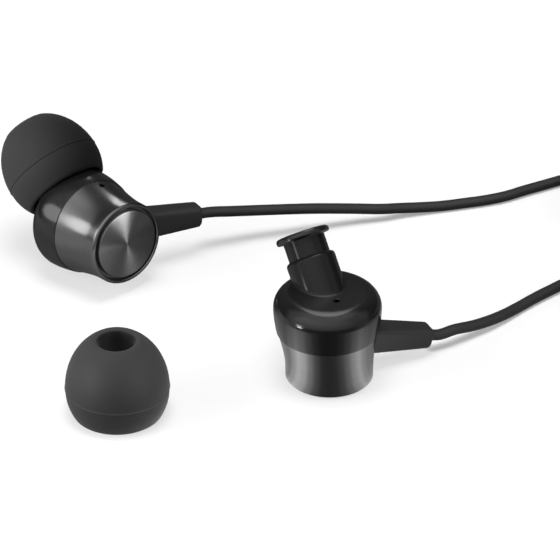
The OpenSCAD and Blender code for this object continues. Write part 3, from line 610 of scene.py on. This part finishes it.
# what the materials share
def colour(hexText):
    # sRGB hex to the linear values that the shaders take
    channels = [int(hexText[i:i + 2], 16) / 255 for i in (1, 3, 5)]
    return [c / 12.92 if c <= 0.04045 else ((c + 0.055) / 1.055) ** 2.4 for c in channels] + [1]


def addNode(tree, kind, settings=None, links=None):
    # a link comes from a socket, or from a node's first output
    node = tree.nodes.new("ShaderNode" + kind)
    for key, value in (settings or {}).items():
        if isinstance(key, int) or key in node.inputs:
            node.inputs[key].default_value = value
        else:
            setattr(node, key, value)
    for key, source in (links or {}).items():
        tree.links.new(getattr(source, "outputs", [source])[0], node.inputs[key])
    return node


def emptyTree(owner):
    owner.use_nodes = True
    owner.node_tree.nodes.clear()
    return owner.node_tree


def newMaterial(name, settings):
    material = bpy.data.materials.new(name)
    tree = emptyTree(material)
    shader = addNode(tree, "BsdfPrincipled", settings)
    addNode(tree, "OutputMaterial", links={"Surface": shader})
    place = addNode(tree, "TexCoord")
    return material, tree, shader, place.outputs["Object"]


noiseBand = (0.3, 0.7)  # where most of a noise's values lie


def grain(tree, shader, where, size, bump, colours, spread=None, stretch=(1, 1, 1), detail=3):
    # noise whose features are `size` mm across, between two colours; bump is a strength and a height
    # in mm, and spread, if given, goes to both sides of the shader's own roughness
    scaled = addNode(tree, "Mapping", {"Scale": [s / (size * mm) for s in stretch]}, {"Vector": where})
    noise = addNode(tree, "TexNoise", {"Scale": 1.0, "Detail": detail}, {"Vector": scaled})
    strength, depth = bump
    height = addNode(tree, "Bump", {"Strength": strength, "Distance": depth * mm}, {"Height": noise})
    tree.links.new(height.outputs[0], shader.inputs["Normal"])
    ramp = addNode(tree, "ValToRGB", links={"Fac": noise})
    for element, position, tone in zip(ramp.color_ramp.elements, noiseBand, colours):
        element.position = position
        element.color = colour(tone)
    tree.links.new(ramp.outputs["Color"], shader.inputs["Base Color"])
    if spread:
        middle = shader.inputs["Roughness"].default_value
        rough = addNode(
            tree, "MapRange",
            {"From Min": noiseBand[0], "From Max": noiseBand[1],
             "To Min": middle - spread, "To Max": middle + spread},
            {"Value": noise})
        tree.links.new(rough.outputs[0], shader.inputs["Roughness"])


def grainedMaterial(name, settings, **noise):
    material, tree, shader, where = newMaterial(name, settings)
    grain(tree, shader, where, **noise)
    return material


def fromAxis(tree, where):
    # distance from the piece's own z axis
    flat = addNode(tree, "VectorMath", {"operation": "MULTIPLY", 1: (1, 1, 0)}, {0: where})
    return addNode(tree, "VectorMath", {"operation": "LENGTH"}, {0: flat}).outputs["Value"]


# liquid silicone rubber, moulded with a blasted finish: soft, dry and without a clear highlight
siliconeFinish = {
    "holeTone": 0.05,  # painted shade: what is left of the skin's colour in the sound hole
    "holeBand": (0.03, 0.23),  # mm out from the hole, over which the painted shade fades and the colour comes back
}
siliconeMoulded, tree, shader, where = newMaterial("siliconeMoulded", {
    "IOR": 1.41, "Roughness": 0.63, "Specular IOR Level": 0.2, "Sheen Weight": 0.06, "Sheen Roughness": 0.4})
grain(tree, shader, where, size=0.12, bump=(0.12, 0.02), colours=("#3a3a3a", "#404040"), spread=0.05)
# painted shade: the skin darkens into the sound hole, towards the tip's axis
holeEnd, skinStart = (tipSize["hole"] + out for out in siliconeFinish["holeBand"])
hole = addNode(
    tree, "MapRange",
    {"From Min": holeEnd * mm, "From Max": skinStart * mm, "To Min": siliconeFinish["holeTone"]},
    {"Value": fromAxis(tree, where)})
skin = shader.inputs["Base Color"].links[0].from_socket
shadedHole = addNode(tree, "Mix", {"data_type": "RGBA", "blend_type": "MULTIPLY", 0: 1.0}, {6: skin, 7: hole})
tree.links.new(shadedHole.outputs[2], shader.inputs["Base Color"])

# ABS from a polished mould: deep black, with crisp reflections over a faint mould texture;
# satin on the deck, and duller on the deck and the nozzle, up to the lip
glossFinish = {
    # mm over the deck where a change starts and ends, and the values before and after it
    "satinStart": (-0.1, -0.01, 0, 0.12),  # roughness on top of the shell's own
    "satinEnd": (0.02, 0.1, 1, 0),  # share of it
    "dullStart": (-0.08, 0, 0.5, 0.24),  # specular level
    "lipBand": (-0.1, 0),  # mm from the neck's top, where the nozzle shines again
    "lipLevel": 0.5,
}
absPolished, tree, shader, where = newMaterial("absPolished", {"IOR": 1.5, "Roughness": 0.15})
grain(tree, shader, where, size=0.08, bump=(0.05, 0.003), colours=("#151515", "#181818"))
split = addNode(tree, "SeparateXYZ", links={"Vector": where})
deckChange = {}
for name in ("satinStart", "satinEnd", "dullStart"):
    start, end, before, after = glossFinish[name]
    deckChange[name] = addNode(
        tree, "MapRange",
        {"From Min": (houseSize["deck"] + start) * mm, "From Max": (houseSize["deck"] + end) * mm,
         "To Min": before, "To Max": after},
        {"Value": split.outputs["Z"]})
satin = addNode(
    tree, "Math", {"operation": "MULTIPLY_ADD", 2: shader.inputs["Roughness"].default_value},
    {0: deckChange["satinStart"], 1: deckChange["satinEnd"]})
tree.links.new(satin.outputs[0], shader.inputs["Roughness"])
nozzleUp = nozzleTurn @ Vector((0, 0, 1))
unsigned = addNode(tree, "VectorMath", {"operation": "ABSOLUTE"}, {0: where})
unsignedSplit = addNode(tree, "SeparateXYZ", links={"Vector": unsigned})
folded = addNode(tree, "CombineXYZ", links={  # y without its sign serves both earbuds
    "X": split.outputs["X"], "Y": unsignedSplit.outputs["Y"], "Z": split.outputs["Z"]})
upNozzle = addNode(tree, "VectorMath", {"operation": "DOT_PRODUCT", 1: tuple(nozzleUp)}, {0: folded})
neckTop = nozzleUp.dot(Vector(nozzleLie["foot"])) + houseSize["neckTop"]
lipStart, lipEnd = (neckTop + up for up in glossFinish["lipBand"])
lipShine = addNode(
    tree, "MapRange",
    {"From Min": lipStart * mm, "From Max": lipEnd * mm, "To Max": glossFinish["lipLevel"]},
    {"Value": upNozzle.outputs["Value"]})
shine = addNode(tree, "Math", {"operation": "MAXIMUM"}, {0: deckChange["dullStart"], 1: lipShine})
tree.links.new(shine.outputs[0], shader.inputs["Specular IOR Level"])

# aluminium, turned, brushed round and anodised dark: broad bands of light along the axis;
# the brush lines are finer than this and drawn 0.11 mm apart, so that they show
aluminiumBrushed, tree, shader, where = newMaterial(
    "aluminiumBrushed",
    {"Metallic": 1.0, "Roughness": 0.225, "Anisotropic": 0.5, "Anisotropic Rotation": 0.25})
grain(
    tree, shader, where, size=0.11, bump=(0.06, 0.004), colours=("#727272", "#787878"), spread=0.015,
    stretch=(0.02, 0.02, 1))
brushWay = addNode(tree, "Tangent", {"direction_type": "RADIAL", "axis": "Z"})
tree.links.new(brushWay.outputs[0], shader.inputs["Tangent"])

# the same aluminium faced on a lathe: fine rings that throw a bow-tie of light;
# drawn 0.12 mm apart, coarser than they are, so that they show
aluminiumSpun, tree, shader, where = newMaterial(
    "aluminiumSpun",
    {"Metallic": 1.0, "Roughness": 0.35, "Anisotropic": 0.88, "Anisotropic Rotation": 0.25})
rings = addNode(tree, "CombineXYZ", links={"X": fromAxis(tree, where)})
grain(
    tree, shader, rings, size=0.12, bump=(0.1, 0.006), colours=("#7c7c7c", "#868686"), spread=0.03, detail=2)
latheWay = addNode(tree, "Tangent", {"direction_type": "RADIAL", "axis": "Z"})
tree.links.new(latheWay.outputs[0], shader.inputs["Tangent"])

# soft PVC overmould: matte black with a faint orange-peel
pvcMoulded = grainedMaterial(
    "pvcMoulded", {"IOR": 1.52, "Roughness": 0.51},
    size=0.1, bump=(0.1, 0.015), colours=("#232323", "#282828"), spread=0.05)

# TPE jacket, extruded: satin black with a faint unevenness
tpeExtruded = grainedMaterial(
    "tpeExtruded", {"IOR": 1.5, "Roughness": 0.47},
    size=0.15, bump=(0.08, 0.01), colours=("#262626", "#2b2b2b"), spread=0.05)

# stainless steel screen, woven: bright wires round dark holes, the holes' dark painted shade from the bore
# behind;
# the wires are 0.12 mm apart, and the holes are drawn 0.4 mm apart so that they show
screenWeave = {"pitch": 0.4, "depth": 0.05, "wire": "#8b8c8e", "hole": "#141415"}  # pitch and depth in mm; the hole colour is painted shade
steelWoven, tree, shader, where = newMaterial("steelWoven", {"Metallic": 1.0, "Roughness": 0.35})
waveScale = 2 * math.pi / 20 / (screenWeave["pitch"] * mm)  # at scale 1 a wave is 2 pi / 20 long
waves = [
    addNode(tree, "TexWave", {"bands_direction": axis, "Scale": waveScale}, {"Vector": where})
    for axis in ("X", "Y")]
holes = addNode(
    tree, "Math", {"operation": "MULTIPLY"},
    {0: waves[0].outputs["Fac"], 1: waves[1].outputs["Fac"]})
relief = addNode(tree, "Bump", {"Strength": 0.8, "Distance": screenWeave["depth"] * mm}, {"Height": holes})
tree.links.new(relief.outputs[0], shader.inputs["Normal"])
# painted shade: the weave's holes take the dark colour
shade = addNode(tree, "ValToRGB", links={"Fac": holes})
shade.color_ramp.elements[0].color = colour(screenWeave["wire"])
shade.color_ramp.elements[1].color = colour(screenWeave["hole"])
tree.links.new(shade.outputs["Color"], shader.inputs["Base Color"])

# acoustic felt and foam: dark and fibrous
feltPressed = grainedMaterial(
    "feltPressed", {"Roughness": 0.95, "Sheen Weight": 0.3},
    size=0.1, bump=(0.6, 0.03), colours=("#202021", "#343435"))

# polyester film, hot formed: thin, straw coloured and shiny
filmFormed = grainedMaterial(
    "filmFormed", {"Roughness": 0.2, "IOR": 1.6, "Coat Weight": 0.3},
    size=0.4, bump=(0.1, 0.01), colours=("#c9c09a", "#d6ceab"))

# enamelled copper wire, wound: glossy turns 0.06 mm apart, drawn at 0.1 mm so that they show
copperWound = grainedMaterial(
    "copperWound", {"Metallic": 1.0, "Roughness": 0.3},
    size=0.1, bump=(0.4, 0.02), colours=("#9a5a2c", "#b97142"), stretch=(0.02, 0.02, 1))

# steel, nickel plated: bright with faint spots
steelPlated = grainedMaterial(
    "steelPlated", {"Metallic": 1.0, "Roughness": 0.25},
    size=0.3, bump=(0.08, 0.005), colours=("#a9aaac", "#b8b9bb"), spread=0.05)

# fibreglass board with green solder mask: glossy and faintly mottled
boardMasked = grainedMaterial(
    "boardMasked", {"Roughness": 0.25, "Coat Weight": 0.4},
    size=0.3, bump=(0.2, 0.01), colours=("#1d4a2a", "#245633"))

# nylon, glass filled and moulded: dull black, a little rough
nylonMoulded = grainedMaterial(
    "nylonMoulded", {"Roughness": 0.625},
    size=0.08, bump=(0.2, 0.01), colours=("#1c1c1d", "#252526"), spread=0.075)

# brass, gold plated and polished: warm mirror with wiping marks along the pin
goldPlated = grainedMaterial(
    "goldPlated", {"Metallic": 1.0, "Roughness": 0.19},
    size=0.15, bump=(0.05, 0.003), colours=("#cfa65a", "#d8b26a"), spread=0.05, stretch=(1, 0.05, 0.05))
print("materials made:", len(bpy.data.materials))


def dress(piece, material):
    piece.data.materials.clear()
    piece.data.materials.append(material)


def place(piece, matrix, body, slotName, material, node):
    piece.matrix_world = matrix
    dress(piece, material)
    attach(piece, body)
    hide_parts(node)
    return piece


for side in ("right", "left"):
    bud = lieOf(side)
    place(makeCan(side), bud, "earphones", "gunmetal_can", aluminiumBrushed, "rear_can_" + side)
    place(makeCap(side), bud, "earphones", "spun_cap", aluminiumSpun, "end_cap_" + side)
    place(makeHousing(side), bud, "earphones", "gloss_housing", absPolished, "front_housing_" + side)
    place(makeRelief(side), exitWay(side), "earphones", "relief_rubber", pvcMoulded, "strain_relief_" + side)
looseTip = Matrix.Translation(Vector(tipLie["loose"]) * mm)
loosePiece = place(makeTip("right"), looseTip, "loose_tip", "silicone_tip", siliconeMoulded, "ear_tip_right")
loosePiece.visible_glossy = False  # keeps a dark blot off the polished shoulder
onNozzle = lieOf("left", nozzleLie["foot"], nozzleLie["turn"], nozzleLie["tilt"])
fittedTip = onNozzle @ Matrix.Translation(Vector(tipLie["fitted"]) * mm)
place(makeTip("left"), fittedTip, "fitted_tip", "silicone_tip", siliconeMoulded, "ear_tip_left")
print("earbuds built")

# the frame's own solids that stay in view or inside
innerFinishes = {
    "nozzle_mesh": steelWoven, "nozzle_damper": feltPressed, "vent_screen": feltPressed,
    "front_gasket": feltPressed, "driver_frame": nylonMoulded, "diaphragm": filmFormed,
    "surround": filmFormed, "voice_coil": copperWound, "top_plate": steelPlated, "magnet": steelPlated,
    "yoke": steelPlated, "driver_board": boardMasked, "signal_wire_plus": copperWound,
    "signal_wire_minus": copperWound, "cable_stop": pvcMoulded, "inner_lead": tpeExtruded,
}
cordFinishes = {
    "splitter": pvcMoulded, "plug_relief": pvcMoulded, "plug_grip": nylonMoulded,
    "plug_sleeve": goldPlated, "plug_ring": goldPlated, "plug_tip": goldPlated,
    "sleeve_insulator": nylonMoulded, "tip_insulator": nylonMoulded,
}
for name, material in innerFinishes.items():
    for side in ("right", "left"):
        dress(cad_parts[name + "_" + side], material)
for name, material in cordFinishes.items():
    dress(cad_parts[name], material)
for piece in cordPieces.values():
    dress(piece, tpeExtruded)
print("pieces dressed")

# floor and world; levels that polished parts mirror, painted on the floor as a reflection and set in the
# world, go by degrees round from the front, minus to the left
stageSetup = {
    "floorHalf": 3,          # m
    "floorGlow": 0.3,        # share of the floor's white that no shadow takes away
    "lampReach": (85, 200),  # mm from the earbuds, where the lamps' light on the floor runs out
    "floorWhite": "#a0a0a0",
    "floorDim": "#6a6a6a",   # what lights the object from below
    "sky": 0.1,              # the world's own light
    # painted reflection: near the standing earbud the floor glows for polished surfaces alone, dark in front
    # and white at its sides
    "nearFloor": {
        -180: 0.1, -150: 0.12, -130: 0.3, -116: 0.5, -90: 0.6, -75: 1.25, -62: 2.0, -49: 1.7, -36: 0.8,
        -24: 0.3, -12: 0.12, 0: 0.1, 12: 0.12, 24: 0.24, 36: 0.55, 49: 1.15, 62: 1.6, 76: 1.0, 90: 0.6,
        116: 0.3, 134: 0.6, 152: 0.5, 172: 0.15},
    "farFloor": {
        -180: 0.06, -135: 0.06, -125: 0.12, -116: 0.4, -105: 0.65, -80: 0.65, -40: 0.15, 0: 0.1,
        40: 0.15, 80: 0.4, 120: 0.25, 150: 0.15},
    "near": (22, 33),        # mm from the earbud's axis, where the near painted reflection fades into the far one
    # the dome above: grey in front and at the sides, dark behind
    "dome": 1.15,
    "domeLow": 0.5,          # share of it at the horizon
    "domeHigh": 0.8,         # height, as a share of the dome's own, where all of it is there
    "domeEven": (0.75, 0.95),  # heights between which the levels round it even out
    "domeBack": (0.1, 0.6),  # slope behind the top from where to where it falls
    "domeDark": 0.15,        # and to which share
    "domeAround": {
        -180: 1, -120: 0.6, -89: 0.6, -68: 1.3, -40: 1.2, 0: 1, 40: 0.8, 64: 0.5, 90: 0.45,
        120: 0.3, 150: 0.8},
}
white = colour("#ffffff")
smooth = {"interpolation_type": "SMOOTHSTEP"}


def aroundFront(tree, vector, stops):
    # grey ramp by the angle round from the front
    split = addNode(tree, "SeparateXYZ", links={"Vector": vector})
    toFront = addNode(tree, "Math", {"operation": "MULTIPLY", 1: -1.0}, {0: split.outputs["Y"]})
    around = addNode(tree, "Math", {"operation": "ARCTAN2"}, {0: split.outputs["X"], 1: toFront})
    turn = addNode(tree, "MapRange", {"From Min": -math.pi, "From Max": math.pi}, {"Value": around})
    ramp = addNode(tree, "ValToRGB", links={"Fac": turn})
    ramp.color_ramp.interpolation = "EASE"
    elements = ramp.color_ramp.elements
    while len(elements) < len(stops):
        elements.new(0.5)
    for element, (degrees, level) in zip(list(elements), sorted(stops.items())):
        element.position = (degrees + 180) / 360
        element.color = (level, level, level, 1)
    return ramp


def viewRays(tree):
    # is the ray a polished surface's, and is it the eye's, also through something clear
    ray = addNode(tree, "LightPath")
    seen = addNode(
        tree, "Math", {"operation": "MAXIMUM"},
        {0: ray.outputs["Is Camera Ray"], 1: ray.outputs["Is Transmission Ray"]})
    return ray.outputs["Is Glossy Ray"], seen


# the floor keeps its shadows, is white to the eye, and for polished surfaces glows with a painted reflection
# by place
floorHalf = stageSetup["floorHalf"]
floorCorners = [(x * floorHalf, y * floorHalf, 0) for x, y in ((-1, -1), (1, -1), (1, 1), (-1, 1))]
floorMesh = bpy.data.meshes.new("floor")
floorMesh.from_pydata(floorCorners, [], [(0, 1, 2, 3)])
floor = bpy.data.objects.new("floor", floorMesh)
bpy.context.scene.collection.objects.link(floor)
paper = bpy.data.materials.new("paperSweep")
tree = emptyTree(paper)
glossy, seen = viewRays(tree)
shown = addNode(tree, "Math", {"operation": "MAXIMUM"}, {0: seen, 1: glossy})
tone = addNode(
    tree, "Mix",
    {"data_type": "RGBA", 6: colour(stageSetup["floorDim"]), 7: colour(stageSetup["floorWhite"])}, {0: shown})
diffuse = addNode(tree, "BsdfDiffuse", links={"Color": tone.outputs[2]})
onFloor = addNode(tree, "TexCoord").outputs["Object"]
reach = addNode(tree, "VectorMath", {"operation": "LENGTH"}, {0: onFloor}).outputs["Value"]
lampStart, lampEnd = stageSetup["lampReach"]
glowShare = addNode(  # far from the lamps the sheet stays white all the same
    tree, "MapRange",
    {"From Min": lampStart * mm, "From Max": lampEnd * mm, "To Min": stageSetup["floorGlow"], **smooth},
    {"Value": reach})
strength = addNode(tree, "Math", {"operation": "MULTIPLY"}, {0: shown, 1: glowShare})
glow = addNode(tree, "Emission", {"Color": white}, {"Strength": strength})
lit = addNode(tree, "AddShader", links={0: diffuse, 1: glow})
nearStart, nearEnd = stageSetup["near"]
fade = addNode(
    tree, "MapRange", {"From Min": nearStart * mm, "From Max": nearEnd * mm, **smooth}, {"Value": reach})
nearLevel = aroundFront(tree, onFloor, stageSetup["nearFloor"])
farLevel = aroundFront(tree, onFloor, stageSetup["farFloor"])
reflectionLevel = addNode(tree, "Mix", {"data_type": "FLOAT"}, {0: fade, 2: nearLevel, 3: farLevel})
# painted reflection: a glow on the floor that polished surfaces alone see
paintedReflection = addNode(tree, "Emission", {"Color": white}, {"Strength": reflectionLevel})
sheet = addNode(tree, "MixShader", links={0: glossy, 1: lit, 2: paintedReflection})
addNode(tree, "OutputMaterial", links={"Surface": sheet})
dress(floor, paper)

# the world is white to the eye, dim as light, and a grey dome to polished surfaces
world = bpy.data.worlds.new("studio")
bpy.context.scene.world = world
tree = emptyTree(world)
glossy, seen = viewRays(tree)
way = addNode(tree, "TexCoord").outputs["Generated"]
split = addNode(tree, "SeparateXYZ", links={"Vector": way})
top = stageSetup["dome"]
climb = addNode(
    tree, "MapRange",
    {"From Max": stageSetup["domeHigh"], "To Min": stageSetup["domeLow"] * top, "To Max": top, **smooth},
    {"Value": split.outputs["Z"]})
evenStart, evenEnd = stageSetup["domeEven"]
even = addNode(
    tree, "MapRange", {"From Min": evenStart, "From Max": evenEnd, **smooth}, {"Value": split.outputs["Z"]})
aroundLevel = aroundFront(tree, way, stageSetup["domeAround"])
around = addNode(tree, "Mix", {"data_type": "FLOAT", 3: 1.0}, {0: even, 2: aroundLevel})
sides = addNode(tree, "Math", {"operation": "MULTIPLY"}, {0: climb, 1: around})
upward = addNode(tree, "Math", {"operation": "MAXIMUM", 1: 0.01}, {0: split.outputs["Z"]})  # never 0
slope = addNode(tree, "Math", {"operation": "DIVIDE"}, {0: split.outputs["Y"], 1: upward})
backStart, backEnd = stageSetup["domeBack"]
back = addNode(
    tree, "MapRange",
    {"From Min": backStart, "From Max": backEnd, "To Min": 1.0, "To Max": stageSetup["domeDark"], **smooth},
    {"Value": slope})
dome = addNode(tree, "Math", {"operation": "MULTIPLY"}, {0: sides, 1: back})
unseen = addNode(tree, "Mix", {"data_type": "FLOAT", 2: stageSetup["sky"]}, {0: glossy, 3: dome})
level = addNode(tree, "Mix", {"data_type": "FLOAT", 3: 1.0}, {0: seen, 2: unseen})
sky = addNode(tree, "Background", {"Color": white}, {"Strength": level})
addNode(tree, "OutputWorld", links={"Surface": sky})
print("floor and world laid")

# lamps: place, aim, width and height in mm, power in watts;
# "only" and "allBut" say which pieces a lamp lights, "shadowsOf" which stand in its way
leftTip = ["tip_dome_left"]
leftMetal = ["rear_shell_left", "front_shell_left"]
rightHousing = ["front_shell_right"]
rightTip = ["tip_dome_right"]
cordNames = [piece.name for piece in cordPieces.values()]
lampSetup = {
    "overhead": {
        "at": (-20, -10, 620), "aim": (0, 10, 0), "size": (350, 270), "power": 2.8, "allBut": leftTip},
    "cordKey": {  # the cords' shadows are crisper and darker than those of the earbuds
        "at": (-20, -100, 620), "aim": (0, 10, 0), "size": (300, 260), "power": 4.2,
        "only": ["floor"], "shadowsOf": cordNames},
    "sideLeft": {"at": (-380, -60, 130), "aim": (0, 5, 5), "size": (300, 300), "power": 1.45},
    "sideRight": {
        "at": (380, -60, 130), "aim": (0, 5, 5), "size": (300, 300), "power": 1.0, "allBut": leftTip},
    "tipKey": {
        "at": (-330, -60, 400), "aim": (-34, 28, 12), "size": (250, 250), "power": 0.85, "only": leftTip},
}
# these show in reflections alone: highlights on one side that the other doesn't have
mirroredSetup = {
    "stripLeft": {
        "at": (-332, -24, 130), "aim": (-24, 16, 7), "size": (165, 160), "power": 0.22, "only": leftMetal},
    "stripBack": {
        "at": (-40, 300, 150), "aim": (-24, 16, 7), "size": (80, 90), "power": 0.065, "only": leftMetal},
    "stripRight": {
        "at": (242, -100, 125), "aim": (-18, 12, 7), "size": (190, 190), "power": 0.85,
        "only": ["cap_disc_left"]},
    "shoulderBox": {
        "at": (0, 255, 541), "aim": (0, 0, 11), "size": (300, 430), "power": 0.85, "only": rightHousing},
    "glint": {
        "at": (-255, -155, 18), "aim": (0, 0, 11), "size": (70, 34), "power": 0.05, "only": rightHousing},
    "glintLow": {
        "at": (-50, -34, 3), "aim": (-4, -5, 10), "size": (10, 6), "power": 0.0045, "only": rightHousing},
    "sheenLeft": {
        "at": (-280, -160, 43), "aim": (-24.7, -7.5, 5), "size": (170, 170), "power": 1.1, "only": rightTip},
    "sheenRight": {
        "at": (202, -195, 69), "aim": (-24.7, -7.5, 5), "size": (150, 150), "power": 0.6, "only": rightTip},
}


def linkLight(lamp, kind, names, state):
    # as receivers or blockers of the lamp, these pieces alone, or all but these
    group = bpy.data.collections.new(lamp.name + kind)
    for name in names:
        group.objects.link(bpy.data.objects[name])
    for member in group.collection_objects:
        member.light_linking.link_state = state
    setattr(lamp.light_linking, kind + "_collection", group)


def softbox(name, setup, mirrored):
    # lights without being mirrored, or the other way round
    data = bpy.data.lights.new(name, "AREA")
    data.shape = "ELLIPSE" if mirrored else "RECTANGLE"
    data.size, data.size_y = (side * mm for side in setup["size"])
    data.energy = setup["power"]
    lamp = bpy.data.objects.new(name, data)
    at, aim = Vector(setup["at"]), Vector(setup["aim"])
    lamp.location = at * mm
    lamp.rotation_euler = (aim - at).to_track_quat("-Z", "Y").to_euler()
    lamp.visible_glossy = mirrored
    lamp.visible_diffuse = not mirrored
    lamp.visible_camera = False
    bpy.context.scene.collection.objects.link(lamp)
    for use, kind, state in (
            ("only", "receiver", "INCLUDE"), ("allBut", "receiver", "EXCLUDE"),
            ("shadowsOf", "blocker", "INCLUDE")):
        if use in setup:
            linkLight(lamp, kind, setup[use], state)


for name, setup in lampSetup.items():
    softbox(name, setup, False)
for name, setup in mirroredSetup.items():
    softbox(name, setup, True)
bpy.context.scene.view_settings.view_transform = "Standard"
print("stage lit")
